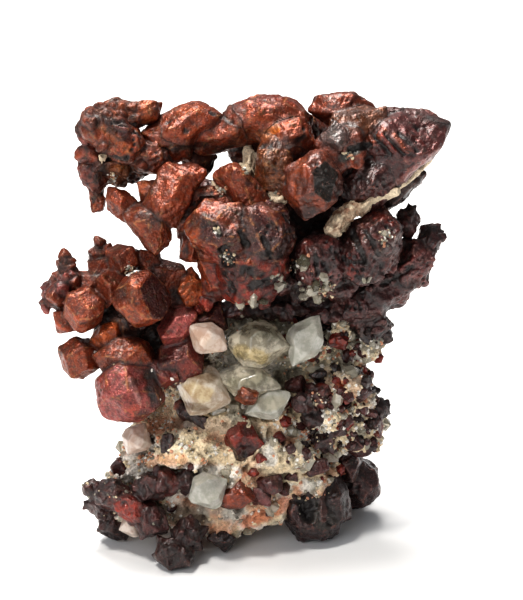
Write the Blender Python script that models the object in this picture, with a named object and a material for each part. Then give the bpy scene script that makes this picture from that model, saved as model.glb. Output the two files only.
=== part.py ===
"""Native copper grown through a block of quartz, about 90 mm tall.

The specimen is an assembly: branches of blunt copper crystals, single quartz crystals and the rock
they stand in. Every crystal is an intersection of flat faces, placed as the eye sees it from the
front: so far right, so far up and so far forward. Crystals that grew into each other are joined,
and each branch is then cut clear of its neighbours. Units are millimetres until a mesh is made.
"""

import itertools
import math

import bmesh
import bpy
import mathutils
import numpy as np

# Driving dimensions, in millimetres and degrees
PIXEL = 0.190  # one pixel of the photograph, in the plane through the middle of the specimen
VIEW_DOWN = 20.0  # how far the photograph looks down on the specimen
LEAN = 8.0  # how far the middle plane of the specimen leans back from upright
EYE_DISTANCE = 500.0
PHOTO_MIDDLE = (261.5, 300.0)  # pixels
ORIGIN_PIXEL = (248.0, 540.0)  # where the middle plane meets the ground, under the specimen
CENTRE_BACK = 6.5  # how far behind that place the middle of the specimen's depth is
GAP = 0.35  # clearance between two solids that touch in the real specimen
METRE = 0.001

TILT = math.radians(VIEW_DOWN)
UPRIGHT = math.tan(math.radians(VIEW_DOWN - LEAN))
RIGHT = np.array([1.0, 0.0, 0.0])
UP = np.array([0.0, math.sin(TILT), math.cos(TILT)])
NEAR = np.array([0.0, -math.cos(TILT), math.sin(TILT)])
PICTURE_AXES = np.column_stack([RIGHT, UP, NEAR])


def on_picture(px, py):
    """Right and up of a pixel, in millimetres from the middle of the photograph."""
    return PIXEL * (px - PHOTO_MIDDLE[0]), PIXEL * (PHOTO_MIDDLE[1] - py)


def place(px, py, near):
    """The point that shows at a pixel, near millimetres in front of the specimen's middle plane."""
    right, up = on_picture(px, py)
    origin_right, origin_up = on_picture(*ORIGIN_PIXEL)
    toward_eye = near + (up - origin_up) * UPRIGHT
    closer = 1 - toward_eye / EYE_DISTANCE
    seen = np.array([right * closer, up * closer, toward_eye])
    return PICTURE_AXES @ (seen - [origin_right, origin_up, 0.0]) - [0.0, CENTRE_BACK, 0.0]


# Crystal shapes, as families of flat faces in a unit crystal


def family(*face):
    """Every direction that a cubic crystal's symmetry makes from one face."""
    found = {
        tuple(sign * value for sign, value in zip(signs, order))
        for order in itertools.permutations(face)
        for signs in itertools.product((1, -1), repeat=3)
    }
    faces = np.array(sorted(found), float)
    return faces / np.linalg.norm(faces, axis=1, keepdims=True)


def quartz_faces(prism=0.9, rise=0.85):
    """A six-sided prism along x, with a six-sided point at each end."""
    turn = np.radians(np.arange(30, 390, 60))
    around = np.column_stack([0 * turn, np.cos(turn), np.sin(turn)])
    slope = np.array([math.sin(rise), math.cos(rise), math.cos(rise)])
    ends = np.vstack([(around + [side, 0, 0]) * slope for side in (1, -1)])
    return np.vstack([around, ends]), np.repeat([prism, math.sin(rise)], [6, 12])


HABITS = {  # faces of each family, with their distance from the crystal's centre
    "blunt": [((1, 0, 0), 0.94), ((1, 1, 0), 0.97)],
    "dozen": [((1, 1, 0), 0.87)],
    "slab": [((1, 0, 0), 0.93), ((1, 1, 0), 1.13)],
    "lump": [((1, 1, 0), 0.96), ((1, 1, 1), 0.92)],
    "bit": [((1, 0, 0), 0.84)],
}
CORNER_CUT = 0.88  # distance of the four faces that cut a bit's corners
CORNERS_CUT = np.array([[1, 1, 1], [1, -1, -1], [-1, 1, -1], [-1, -1, 1]]) / math.sqrt(3)
UNEVEN = {"quartz": 0.12, "slab": 0.05, "lump": 0.14}
UNEVEN_COPPER = 0.09
ALIGNED = ("quartz", "slab")  # habits whose faces follow the crystal's own length


def faces_of(habit):
    """The unit crystal's face directions and their distances from its centre."""
    if habit == "quartz":
        return quartz_faces()
    directions = [family(*face) for face, _ in HABITS[habit]]
    distances = [np.full(len(d), far) for d, (_, far) in zip(directions, HABITS[habit])]
    if habit == "bit":
        directions.append(CORNERS_CUT)
        distances.append(np.full(len(CORNERS_CUT), CORNER_CUT))
    return np.vstack(directions), np.concatenate(distances)


def turned(roll, lean=0.0, spin=0.0):
    """Turns about the first axis, leans it toward the third, then rolls it in the picture."""
    r, n, s = (math.radians(angle) for angle in (roll, lean, spin))
    about_x = np.array([[1, 0, 0], [0, math.cos(s), -math.sin(s)], [0, math.sin(s), math.cos(s)]])
    about_y = np.array([[math.cos(n), 0, -math.sin(n)], [0, 1, 0], [math.sin(n), 0, math.cos(n)]])
    about_z = np.array([[math.cos(r), -math.sin(r), 0], [math.sin(r), math.cos(r), 0], [0, 0, 1]])
    return about_z @ about_y @ about_x


def crystal(px, py, near, length, width, depth, roll=0.0, habit="dozen", cuts=()):
    """One crystal: its pixel and depth, half sizes, roll in the picture and habit.

    A cut is a flat face's direction, as right, up and near, and its distance from the middle.
    """
    return {
        "px": px,
        "py": py,
        "near": near,
        "half": np.array([length, width, depth], float),
        "roll": roll,
        "habit": habit,
        "cuts": cuts,
    }


def nub(px, py, near, radius):
    """A small crystal with no clear length."""
    return crystal(px, py, near, radius, 0.95 * radius, radius, habit="bit")


def crystal_faces(row):
    """Directions and distances of a crystal's faces in its unit space, a little uneven as it grew."""
    directions, distances = faces_of(row["habit"])
    chance = np.random.default_rng(int(row["px"]) * 1000 + int(row["py"]))
    uneven = UNEVEN.get(row["habit"], UNEVEN_COPPER)
    distances = distances * (1 + uneven * chance.uniform(-1, 1, len(distances)))
    angles = chance.uniform(0, 360, 3)
    if row["habit"] not in ALIGNED:
        directions = directions @ turned(*angles).T
    for toward, far in row["cuts"]:
        flat = turned(row["roll"]).T @ (np.array(toward) / np.linalg.norm(toward))
        reach = np.linalg.norm(flat * row["half"])
        directions = np.vstack([directions, flat * row["half"] / reach])
        distances = np.append(distances, far / reach)
    return directions, distances


PARALLEL = 1e-3  # three faces this close to sharing a line meet in no corner
TOUCHING = 1e-6
ROUNDED_TO = 3  # decimals that tell one corner from another


def corners(directions, distances):
    """The points where three faces meet inside all the others."""
    triples = np.array(list(itertools.combinations(range(len(directions)), 3)))
    planes = directions[triples]
    sharp = np.abs(np.linalg.det(planes)) > PARALLEL
    points = np.linalg.solve(planes[sharp], distances[triples[sharp]][:, :, None])[:, :, 0]
    inside = (points @ directions.T <= distances + TOUCHING).all(axis=1)
    return np.unique(np.round(points[inside], ROUNDED_TO), axis=0)


def crystal_points(row, grow=0.0):
    """The crystal's corners, in millimetres from the origin, larger by grow on every side."""
    unit = corners(*crystal_faces(row))
    in_picture = (unit * (row["half"] + grow)) @ turned(row["roll"]).T
    return in_picture @ PICTURE_AXES.T + place(row["px"], row["py"], row["near"])


# The crystals of every branch, as they show from the front

CROWN_RIGHT = [
    crystal(394, 151, 2, 10.6, 6.6, 8, 33, "blunt",
            cuts=(((-0.3, -0.6, 0.75), 5.8), ((0.3, 0.6, 0.75), 6.2), ((0.64, -0.77, 0), 5.7))),
    crystal(371, 182, 4, 7, 4.6, 5.5, 35),
    crystal(412, 125, -2, 7.2, 2.4, 4.6, -13, "slab"),
    crystal(316, 183, 12, 6.3, 6.8, 6.2, 80, "blunt",
            cuts=(((0.72, -0.1, 0.68), 4.2), ((-0.55, 0.0, 0.83), 4.8))),
    crystal(330, 155, 8, 4, 2, 2.5, -55, "slab"),
    crystal(345, 141, 7, 3.6, 3, 3.2),
    nub(337, 137, 8.5, 2.5),
    nub(352, 155, 8, 2.9),
    crystal(357, 127, 3, 6.4, 3.8, 4.4, 15),
    crystal(342, 109, -2, 6.7, 3.4, 5, 4),
    crystal(404, 187, -3, 5.4, 1.5, 4, 42, "slab"),
    crystal(362, 168, -8, 9, 6, 6, 30),
]

CROWN_TOP = [
    crystal(268, 121, -1, 8.3, 5.1, 7, -5, "blunt"),
    crystal(240, 118, 2, 4.5, 4.2, 5, 20),
    crystal(222, 134, 1, 6.5, 3.3, 4.4, 15),
    crystal(185, 128, 2, 7, 4, 5, 25),
    crystal(165, 143, 3, 5.5, 3.2, 4, -20),
    crystal(276, 167, 8, 6, 3.6, 4, 105),
    nub(290, 149, 6, 2.4),
    crystal(290, 138, 4, 5, 4, 4.5, 10),
    nub(241, 152, -5, 2.5),
    nub(196, 161, -1, 3.1),
    crystal(255, 135, -8, 7, 4.5, 5.4, 5),
    crystal(300, 138, -8, 6.4, 5, 5.4, 20),
]

CROWN_LEFT = [
    crystal(113, 136, 6, 6.3, 3.7, 4, -35, "slab"),
    nub(95, 125, 6, 3.0),
    crystal(140, 112, 3, 3.4, 2, 2.5, 5, "slab"),
    nub(117, 112, 4, 2.4),
    crystal(150, 155, 4, 5, 3.2, 4, -20),
    nub(115, 165, 3, 3.4),
    nub(135, 166, 1, 3.0),
    nub(97, 165, 4, 2.6),
    nub(88, 152, 5, 2.0),
    nub(90, 172, 5, 1.9),
    nub(97, 180, 5, 1.9),
    crystal(96, 198, 5, 3.4, 1.9, 1.9, 95),
]

FAN = [
    crystal(172, 195, 9, 7.5, 4.2, 4, 55),
    crystal(148, 228, 10, 5.2, 3.4, 3.6, -55),
    crystal(122, 205, 8, 3.8, 2.6, 2.5, -45),
    nub(150, 193, 7, 2.5),
    crystal(188, 215, 7, 4.2, 1.9, 3, 65),
    crystal(207, 195, 7, 3.6, 1.8, 3, 5),
    crystal(227, 205, 8, 3.6, 1.5, 2.6, -40),
    crystal(243, 189, 9, 6.2, 3.2, 3.8, -48),
    crystal(194, 243, 8, 4, 2.8, 3.2, 75),
]

HEART = [
    crystal(222, 232, 13, 6, 5.5, 5, 0, "blunt"),
    crystal(262, 232, 12, 6.2, 5.8, 5.4, 0, "blunt"),
    crystal(250, 262, 12, 6, 6.5, 5.5, 10, "blunt"),
    crystal(244, 287, 11, 3.8, 3.4, 4, 10),
    crystal(266, 276, 10, 6, 4, 4.5, 70),
]

RIGHT_ARM = [
    crystal(370, 247, 7, 7.8, 5.3, 6, 58, "blunt"),
    crystal(320, 262, 9, 5, 5.2, 5, 0, "blunt"),
    crystal(408, 222, -2, 3.2, 2.2, 2.4, 80),
    crystal(428, 242, -2, 3.6, 2.4, 3, 65),
    crystal(408, 265, 0, 6.5, 4.6, 4.5, 45),
    crystal(385, 290, 0, 6.5, 4, 4.5, 30),
    crystal(360, 305, 0, 6, 4.5, 5, 20),
    nub(371, 324, 0, 3.4),
    nub(338, 285, 5, 3.6),
    crystal(352, 262, -8, 9, 7, 7, 40),
]

LEFT_CLUSTER = [
    crystal(142, 299, 12, 4.9, 5.2, 4.6, 90, "blunt", cuts=(((0.75, 0.1, 0.65), 3.1),)),
    crystal(85, 309, 9, 3.7, 4.1, 3.6, 0, "blunt"),
    crystal(123, 258, 5, 3.4, 3, 3),
    nub(111, 286, 7, 3.2),
    nub(168, 277, 5, 3.4),
    nub(175, 292, 4, 3.4),
    nub(193, 291, 7, 3.3),
    crystal(79, 358, 8, 3.8, 4.1, 3.8),
    crystal(128, 358, 9, 5.8, 4.2, 4.2),
    crystal(107, 336, 8, 3.4, 2.2, 2.6, 35),
    crystal(129, 391, 11, 6.8, 5.6, 5.5, 0, "blunt"),
    crystal(178, 325, 8, 4.6, 3, 3.4, 45),
    crystal(180, 362, 8, 4.8, 4.8, 4.4),
    nub(160, 375, 10, 3.2),
    nub(213, 316, 6, 2.7),
    nub(148, 262, 4, 2.5),
    nub(62, 294, 5, 3.2),
    nub(56, 301, 5, 1.8),
    nub(71, 281, 5, 2.6),
    nub(67, 321, 6, 2.6),
    nub(90, 285, 4, 3.0),
    nub(101, 268, 4, 2.4),
    nub(98, 254, 3, 1.8),
    nub(67, 268, 5, 1.7),
    crystal(130, 320, 2, 8, 7, 5.5, 20, "dozen"),
    crystal(165, 338, -1, 8, 8, 6, 0, "dozen"),
]

TRUNK = [
    crystal(262, 190, -9, 9, 5, 5.5, 70),
    crystal(308, 200, -9, 10, 6, 6, 35),
    crystal(262, 235, -7, 9, 7.5, 7, 80),
    crystal(225, 200, -6, 8, 3, 4, -25),
    crystal(300, 262, -10, 9, 8, 7, 10),
    crystal(258, 315, -11, 7.5, 5, 6, 15),
    crystal(284, 216, -14, 5.2, 4.6, 4.6, 30),
    crystal(246, 222, -12, 4.6, 4.2, 4.4, 10),
    crystal(322, 238, -15, 6, 5, 5, 60),
    crystal(278, 288, -16, 5, 4.2, 4.2, 25),
]

RIGHT_EDGE = [
    nub(370, 425, -2, 3.5),
    nub(378, 411, -3, 3.0),
    nub(362, 445, -2, 3.4),
    nub(345, 415, 2, 3.0),
    nub(330, 402, 4, 3.0),
    nub(318, 394, 6, 3.2),
    nub(303, 404, 7, 3.0),
    nub(312, 418, 6, 3.0),
    nub(336, 428, 4, 3.2),
    nub(352, 440, 1, 3.4),
    nub(325, 440, 4, 3.0),
]

FOOT_RIGHT = [
    crystal(312, 509, -1, 5.8, 6.2, 5.6, 0, "blunt", cuts=(((0.55, 0.1, 0.83), 3.9),)),
    crystal(330, 500, -2, 3.8, 5, 4.4, 20),
    crystal(357, 482, -11, 4.4, 4.9, 4.6, 0, "blunt"),
    crystal(343, 460, -6, 3, 4.6, 4, 20),
    crystal(350, 492, -18.5, 4, 4.4, 4.6),
]

FOOT_LEFT = [
    crystal(174, 554, 12.2, 4, 3, 3.6),
    crystal(187, 536, 10, 3, 3, 3.2),
]

BASE_LEFT = [
    crystal(116, 524, 1, 3.4, 3.2, 3.2),
    nub(102, 505, 4, 2.8),
    nub(97, 491, 4, 2.1),
    crystal(113, 496, 7, 3.4, 3, 3),
    crystal(135, 508, 9, 5, 2.6, 3.2, -30),
    nub(152, 521, 10, 2.8),
    nub(150, 488, 9, 3.2),
    nub(167, 483, 9, 3.0),
    nub(187, 481, 9, 2.7),
]

FOOT_BACK = [
    crystal(205, 470, -21, 4.6, 4.6, 4.6, 0, "blunt"),
    crystal(222, 448, -18, 5, 4.5, 5),
]

COPPER_BRANCHES = {
    "copper_crown_right": CROWN_RIGHT,
    "copper_crown_top": CROWN_TOP,
    "copper_crown_left": CROWN_LEFT,
    "copper_heart": HEART,
    "copper_fan": FAN,
    "copper_right_arm": RIGHT_ARM,
    "copper_left_cluster": LEFT_CLUSTER,
    "copper_trunk": TRUNK,
    "copper_right_edge": RIGHT_EDGE,
    "copper_foot_right": FOOT_RIGHT,
    "copper_foot_left": FOOT_LEFT,
    "copper_base_left": BASE_LEFT,
    "copper_foot_back": FOOT_BACK,
}

QUARTZ_CRYSTALS = {
    "quartz_milky": [crystal(207, 338, 11, 4.5, 3, 3, -35, "quartz")],
    "quartz_grey": [crystal(259, 343, 9, 6.2, 4.9, 4.6, -8, "blunt")],
    "quartz_clear": [crystal(306, 340, 8, 5.7, 3.4, 3.4, 62, "quartz")],
    "quartz_cream": [crystal(203, 391, 9, 5.8, 4.8, 4.4, -12, "blunt")],
    "quartz_middle": [crystal(248, 380, 9, 6.8, 3.2, 3.4, -10, "quartz")],
    "quartz_low": [crystal(268, 404, 9, 4.8, 2.9, 3, 25, "quartz")],
    "quartz_round": [crystal(208, 491, 12, 4.7, 3.6, 3.4, 10, "quartz")],
    "quartz_left": [crystal(137, 440, 7, 3.6, 2.9, 3, 60, "quartz")],
    "quartz_corner": [crystal(131, 526, 7, 2.6, 2.2, 2.4, 20, "quartz")],
    "quartz_back_tall": [crystal(300, 350, -17, 9, 4.6, 4.6, 70, "quartz")],
    "quartz_back_wide": [crystal(205, 395, -17, 8, 4.4, 4.4, -20, "quartz")],
    "quartz_back_low": [crystal(285, 440, -20, 6.5, 4, 4, 35, "quartz")],
}

CALCITE = [
    crystal(402, 184, 3, 5.6, 0.9, 3, 38, "slab"),
    crystal(378, 199, 5, 4.6, 1.3, 3.2, 22, "slab"),
    crystal(346, 219, 9, 5, 2.4, 3.4, 38, "slab"),
]

ROCK = [
    crystal(225, 468, -3, 21, 11, 12.5, 2, "blunt"),
    crystal(248, 405, -5, 20, 12, 13, 0, "lump"),
    crystal(280, 345, -6, 13, 9, 12, 0, "lump"),
    crystal(159, 455, 0, 8.5, 8.2, 9, 80, "lump"),
    crystal(133, 503, 0, 6.5, 5, 7, 0, "lump"),
    crystal(336, 400, -5, 7.5, 11, 10, 0, "lump"),
    crystal(235, 508, 2, 14, 5, 7, 5, "lump"),
    crystal(318, 450, -10, 8, 7, 9, 0, "lump"),
    crystal(185, 452, 6, 8, 4.4, 5.5, 10, "blunt"),
    crystal(262, 452, 6, 9, 4, 5, -8, "blunt"),
]
ROCK_GRAINS = [  # small copper crystals that stand in the rock
    nub(240, 436, 11, 3.3),
    nub(222, 442, 11, 2.0),
    nub(243, 451, 11, 2.2),
    nub(236, 495, 12, 3.4),
    nub(260, 498, 12, 2.4),
    nub(275, 483, 11, 2.2),
    nub(302, 470, 8, 2.6),
    nub(190, 418, 11, 2.6),
    nub(228, 538, 7, 2.4),
    nub(250, 536, 6, 2.4),
    nub(262, 418, -20, 4.0),
    nub(335, 395, -17, 3.6),
    nub(170, 440, -11, 3.6),
]

BRIGHT_COPPER = ((0.22, 0.06, 0.025), 0.45, 0.7)  # colour, roughness, metallic
DARK_COPPER = ((0.12, 0.03, 0.022), 0.5, 0.6)
QUARTZ_FINISH = ((0.55, 0.52, 0.46), 0.25, 0.0)
ROCK_FINISH = ((0.6, 0.48, 0.37), 0.85, 0.0)
FINISHES = {
    "copper_crown_right": BRIGHT_COPPER,
    "copper_crown_top": BRIGHT_COPPER,
    "copper_crown_left": BRIGHT_COPPER,
    "copper_heart": BRIGHT_COPPER,
    "copper_fan": BRIGHT_COPPER,
    "copper_right_arm": DARK_COPPER,
    "copper_left_cluster": BRIGHT_COPPER,
    "copper_trunk": DARK_COPPER,
    "copper_right_edge": DARK_COPPER,
    "copper_foot_right": DARK_COPPER,
    "copper_foot_left": DARK_COPPER,
    "copper_base_left": DARK_COPPER,
    "copper_foot_back": DARK_COPPER,
    "calcite_film": ((0.62, 0.5, 0.38), 0.7, 0.0),
}

# Making the solids

FLAT_WITHIN = math.radians(0.4)
SHORTEST_EDGE = 0.16
GROUND_BLOCK = (80.0, 20.0)  # half width and depth of what is cut away under the specimen


def join_flats(work):
    """Makes one face of the triangles that lie in one plane."""
    bmesh.ops.dissolve_limit(work, angle_limit=FLAT_WITHIN, verts=work.verts, edges=work.edges)


def merge_short_edges(work):
    """Merges the ends of the shortest edges, wherever the surface stays closed without them."""
    bmesh.ops.triangulate(work, faces=work.faces)
    short = [edge for edge in work.edges if edge.calc_length() < SHORTEST_EDGE]
    for edge in sorted(short, key=bmesh.types.BMEdge.calc_length):
        if not edge.is_valid:
            continue
        first, second = edge.verts
        around = [{link.other_vert(vert) for link in vert.link_edges} for vert in edge.verts]
        if len(around[0] & around[1]) == 2:
            bmesh.ops.weld_verts(work, targetmap={first: second})


def hull(points):
    """A closed mesh, in millimetres, around a crystal's corners."""
    work = bmesh.new()
    for point in points:
        work.verts.new(point)
    found = bmesh.ops.convex_hull(work, input=work.verts)
    spare = [item for item in found["geom_interior"] if isinstance(item, bmesh.types.BMVert)]
    bmesh.ops.delete(work, geom=spare, context="VERTS")
    bmesh.ops.recalc_face_normals(work, faces=work.faces)
    join_flats(work)
    mesh = bpy.data.meshes.new("crystal")
    work.to_mesh(mesh)
    work.free()
    return mesh


def boolean(base, others, operation):
    """The base mesh joined with the others, or cut by them, as a new mesh."""
    helpers = bpy.data.collections.new("helpers")
    bpy.context.scene.collection.children.link(helpers)
    made = [bpy.data.objects.new("helper", mesh) for mesh in others]
    for helper in made:
        helpers.objects.link(helper)
    target = bpy.data.objects.new("target", base)
    bpy.context.scene.collection.objects.link(target)
    modifier = target.modifiers.new("combine", "BOOLEAN")
    modifier.operand_type = "COLLECTION"
    modifier.collection = helpers
    modifier.solver = "EXACT"
    modifier.operation = operation
    seen = target.evaluated_get(bpy.context.evaluated_depsgraph_get())
    result = bpy.data.meshes.new_from_object(seen)
    for helper in [*made, target]:
        bpy.data.objects.remove(helper)
    bpy.data.collections.remove(helpers)
    return result


def largest_body(mesh):
    """Leaves only the mesh's largest closed body, without the crumbs that a cut leaves."""
    work = bmesh.new()
    work.from_mesh(mesh)
    waiting = set(work.verts)
    bodies = []
    while waiting:
        body = {waiting.pop()}
        edge_of_body = list(body)
        while edge_of_body:
            vert = edge_of_body.pop()
            fresh = {edge.other_vert(vert) for edge in vert.link_edges} - body
            body |= fresh
            edge_of_body += fresh
        waiting -= body
        bodies.append(body)
    bodies.sort(key=len, reverse=True)
    crumbs = [vert for body in bodies[1:] for vert in body]
    bmesh.ops.delete(work, geom=crumbs, context="VERTS")
    join_flats(work)
    merge_short_edges(work)
    work.to_mesh(mesh)
    work.free()


def ground_cutter():
    """A block under the ground, which leaves every foot a flat to stand on."""
    half, deep = GROUND_BLOCK
    points = [(x, y, z) for x in (-half, half) for y in (-half, half) for z in (-deep, 0.0)]
    return hull(points)


def box_of(row, grow=0.0):
    """Lowest and highest corner of a crystal."""
    points = crystal_points(row, grow)
    return points.min(axis=0), points.max(axis=0)


def meets(row, neighbour):
    """Whether the boxes of two crystals come closer than the gap."""
    low, high = box_of(row)
    other_low, other_high = box_of(neighbour, GAP)
    return bool(np.all(low < other_high) and np.all(other_low < high))


def material(name, colour, roughness, metallic):
    """A plain finish."""
    made = bpy.data.materials.new(name)
    made.use_nodes = True
    shader = made.node_tree.nodes["Principled BSDF"]
    shader.inputs["Base Color"].default_value = (*colour, 1.0)
    shader.inputs["Roughness"].default_value = roughness
    shader.inputs["Metallic"].default_value = metallic
    return made


def make_node(name, rows, standing, finish):
    """Joins the rows' crystals, cuts them clear of the crystals that stand, and names the solid."""
    solids = [hull(crystal_points(row)) for row in rows]
    mesh = boolean(solids[0], solids[1:], "UNION") if len(solids) > 1 else solids[0]
    near = [other for other in standing if any(meets(row, other) for row in rows)]
    cutters = [hull(crystal_points(other, GAP)) for other in near]
    if min(vertex.co.z for vertex in mesh.vertices) < 0:
        cutters.append(ground_cutter())
    if cutters:
        mesh = boolean(mesh, cutters, "DIFFERENCE")
    largest_body(mesh)
    mesh.transform(mathutils.Matrix.Scale(METRE, 4))
    mesh.name = name
    mesh.materials.clear()
    mesh.materials.append(finish)
    mesh.shade_flat()
    solid = bpy.data.objects.new(name, mesh)
    bpy.context.scene.collection.objects.link(solid)


def clear_scene():
    """Removes the objects of the scene that the script starts in."""
    for item in list(bpy.data.objects):
        bpy.data.objects.remove(item, do_unlink=True)


def main():
    """Makes the copper first, then what grew against it, and the rock around all of them."""
    clear_scene()
    standing = []
    for name, rows in COPPER_BRANCHES.items():
        make_node(name, rows, standing, material(name, *FINISHES[name]))
        standing += rows
    for name, rows in {"calcite_film": CALCITE, **QUARTZ_CRYSTALS}.items():
        make_node(name, rows, standing, material(name, *FINISHES.get(name, QUARTZ_FINISH)))
        standing += rows
    make_node("rock_matrix", ROCK + ROCK_GRAINS, standing, material("rock_matrix", *ROCK_FINISH))


main()
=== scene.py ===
# %% [markdown]
# # Native copper in quartz
#
# Native copper grows in cracks of the rock, in branches of blunt crystals that run into each other.
# This specimen stands on its own feet: red-brown copper above, a block of pale granular rock below,
# and quartz crystals between them. The solid model already fixes where every piece is and how large
# it is. This lesson gives each piece its real surface, and then lights the whole thing softly.
#
# Everything is worked out in millimetres and becomes metres only when a mesh is made.

# %% Load the solid model as a fixed frame
import itertools
import math

import bpy
import numpy as np
from mathutils import Matrix


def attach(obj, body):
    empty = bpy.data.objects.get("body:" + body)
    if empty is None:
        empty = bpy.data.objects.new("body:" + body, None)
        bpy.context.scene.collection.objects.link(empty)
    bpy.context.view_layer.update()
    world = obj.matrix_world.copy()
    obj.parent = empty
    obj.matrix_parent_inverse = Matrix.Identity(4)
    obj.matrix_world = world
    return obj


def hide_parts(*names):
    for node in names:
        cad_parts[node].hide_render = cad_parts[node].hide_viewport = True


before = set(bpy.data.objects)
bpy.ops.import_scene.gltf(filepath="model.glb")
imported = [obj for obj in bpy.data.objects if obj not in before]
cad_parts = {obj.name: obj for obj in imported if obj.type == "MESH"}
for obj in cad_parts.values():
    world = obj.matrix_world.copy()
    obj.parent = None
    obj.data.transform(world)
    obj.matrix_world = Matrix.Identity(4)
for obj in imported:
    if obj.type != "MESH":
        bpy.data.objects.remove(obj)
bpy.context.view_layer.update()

METRE = 0.001
print("nodes in the frame:", len(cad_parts))

# %% [markdown]
# ## Where a pixel lies
#
# The specimen was measured on one photograph, so the handiest way to say where a crystal sits is its
# pixel, plus how far it stands in front of a plane through the specimen's middle. That plane leans
# back a little. A camera half a metre away gives mild perspective, so what is nearer also looks
# larger, and the formula shrinks its distance from the picture's middle to suit.

# %% From the photograph to the specimen
PIXEL = 0.190  # millimetres, in the plane through the middle of the specimen
VIEW_DOWN = 20.0  # degrees
LEAN = 8.0  # degrees that the middle plane leans back
EYE_DISTANCE = 500.0
PICTURE_SIZE = (523, 600)
PHOTO_MIDDLE = (261.5, 300.0)
ORIGIN_PIXEL = (248.0, 540.0)  # where the middle plane meets the ground
CENTRE_BACK = 6.5

TILT = math.radians(VIEW_DOWN)
UPRIGHT = math.tan(math.radians(VIEW_DOWN - LEAN))
RIGHT = np.array([1.0, 0.0, 0.0])
UP = np.array([0.0, math.sin(TILT), math.cos(TILT)])
NEAR = np.array([0.0, -math.cos(TILT), math.sin(TILT)])
PICTURE_AXES = np.column_stack([RIGHT, UP, NEAR])


def on_picture(px, py):
    """Right and up of a pixel, in millimetres from the middle of the picture."""
    return PIXEL * (px - PHOTO_MIDDLE[0]), PIXEL * (PHOTO_MIDDLE[1] - py)


def place(px, py, near):
    """The point that shows at a pixel, near millimetres in front of the leaning middle plane."""
    right, up = on_picture(px, py)
    origin_right, origin_up = on_picture(*ORIGIN_PIXEL)
    toward_eye = near + (up - origin_up) * UPRIGHT
    closer = 1 - toward_eye / EYE_DISTANCE
    seen = np.array([right * closer, up * closer, toward_eye])
    return PICTURE_AXES @ (seen - [origin_right, origin_up, 0.0]) - [0.0, CENTRE_BACK, 0.0]


def pixels_of(points):
    """The pixels at which points show: place turned round, for a whole array."""
    seen = (points + [0.0, CENTRE_BACK, 0.0]) @ PICTURE_AXES + [*on_picture(*ORIGIN_PIXEL), 0.0]
    spread = seen[:, :2] / (1 - seen[:, 2:] / EYE_DISTANCE) / PIXEL
    return PHOTO_MIDDLE + spread * [1.0, -1.0]


crown = place(268, 120, 0)
print("middle of the crown, in mm:", crown.round(1), "and back:", pixels_of(crown[None]).round(1))

# %% [markdown]
# ## Camera
#
# The camera sits where the formula above puts the eye. Its lens follows from the distance and from
# the height that the picture covers, so no framing by hand is needed.

# %% Set up the camera
SENSOR_HEIGHT = 36.0


def make_camera():
    """A camera half a metre away that looks down on the specimen as the photograph does."""
    origin_right, origin_up = on_picture(*ORIGIN_PIXEL)
    middle = PICTURE_AXES @ np.array([-origin_right, -origin_up, 0.0]) - [0.0, CENTRE_BACK, 0.0]
    data = bpy.data.cameras.new("camera")
    data.sensor_fit = "VERTICAL"
    data.sensor_height = SENSOR_HEIGHT
    data.lens = SENSOR_HEIGHT * EYE_DISTANCE / (PICTURE_SIZE[1] * PIXEL)
    data.clip_start = 0.01
    pose = np.eye(4)
    pose[:3, :3] = PICTURE_AXES
    pose[:3, 3] = (middle + NEAR * EYE_DISTANCE) * METRE
    camera = bpy.data.objects.new("camera", data)
    camera.matrix_world = Matrix(pose.tolist())
    bpy.context.scene.collection.objects.link(camera)
    bpy.context.scene.camera = camera
    return camera


camera = make_camera()
print("lens, in mm:", round(camera.data.lens, 1))

# %% [markdown]
# ## Light and floor
#
# The specimen is lit as in a small studio. A wide soft lamp hangs overhead, a little behind it and to
# the left, and leaves a soft shadow in front. A small lamp on the left gives sharp glints on the
# copper, and a wide weak one on the left in front fills the shaded faces. The pale floor throws light
# back up, and the plain world fills in the rest.

# %% Build the studio
FLOOR_SIZE = 6.0
OVERHEAD = {"at": (-0.08, 0.18, 0.70), "size": 0.34, "power": 6.9, "colour": (1.0, 0.98, 0.95)}
GLINT = {"at": (-0.20, -0.18, 0.66), "size": 0.10, "power": 2.6, "colour": (1.0, 0.97, 0.92)}
FRONT = {"at": (-0.45, -0.80, 0.45), "size": 0.60, "power": 3.4, "colour": (0.97, 0.98, 1.0)}
WORLD_STRENGTH = 0.21
WORLD_COLOUR = (0.93, 0.96, 1.0, 1.0)
CARD_COLOUR = (0.88, 0.88, 0.88, 1.0)
CARD_ROUGHNESS = 0.9
AIMED_AT = (0.0, 0.0, 0.045)


def make_lamp(name, at, size, power, colour):
    """A square lamp that faces the specimen: its own -Z axis is turned towards the aim."""
    data = bpy.data.lights.new(name, "AREA")
    data.size = size
    data.energy = power
    data.color = colour
    toward = np.array(AIMED_AT) - at
    back = -toward / np.linalg.norm(toward)
    side = np.cross([0.0, 0.0, 1.0], back)
    side /= np.linalg.norm(side)
    pose = np.eye(4)
    pose[:3, :3] = np.column_stack([side, np.cross(back, side), back])
    pose[:3, 3] = at
    lamp = bpy.data.objects.new(name, data)
    lamp.matrix_world = Matrix(pose.tolist())
    bpy.context.scene.collection.objects.link(lamp)


def make_world():
    """A plain bright world, a little cooler than the lamps."""
    world = bpy.data.worlds.new("studio")
    world.use_nodes = True
    background = world.node_tree.nodes["Background"]
    background.inputs["Color"].default_value = WORLD_COLOUR
    background.inputs["Strength"].default_value = WORLD_STRENGTH
    bpy.context.scene.world = world


def new_finish(name):
    """A new material, its nodes and its shader."""
    finish = bpy.data.materials.new(name)
    finish.use_nodes = True
    return finish, finish.node_tree, finish.node_tree.nodes["Principled BSDF"]


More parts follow.
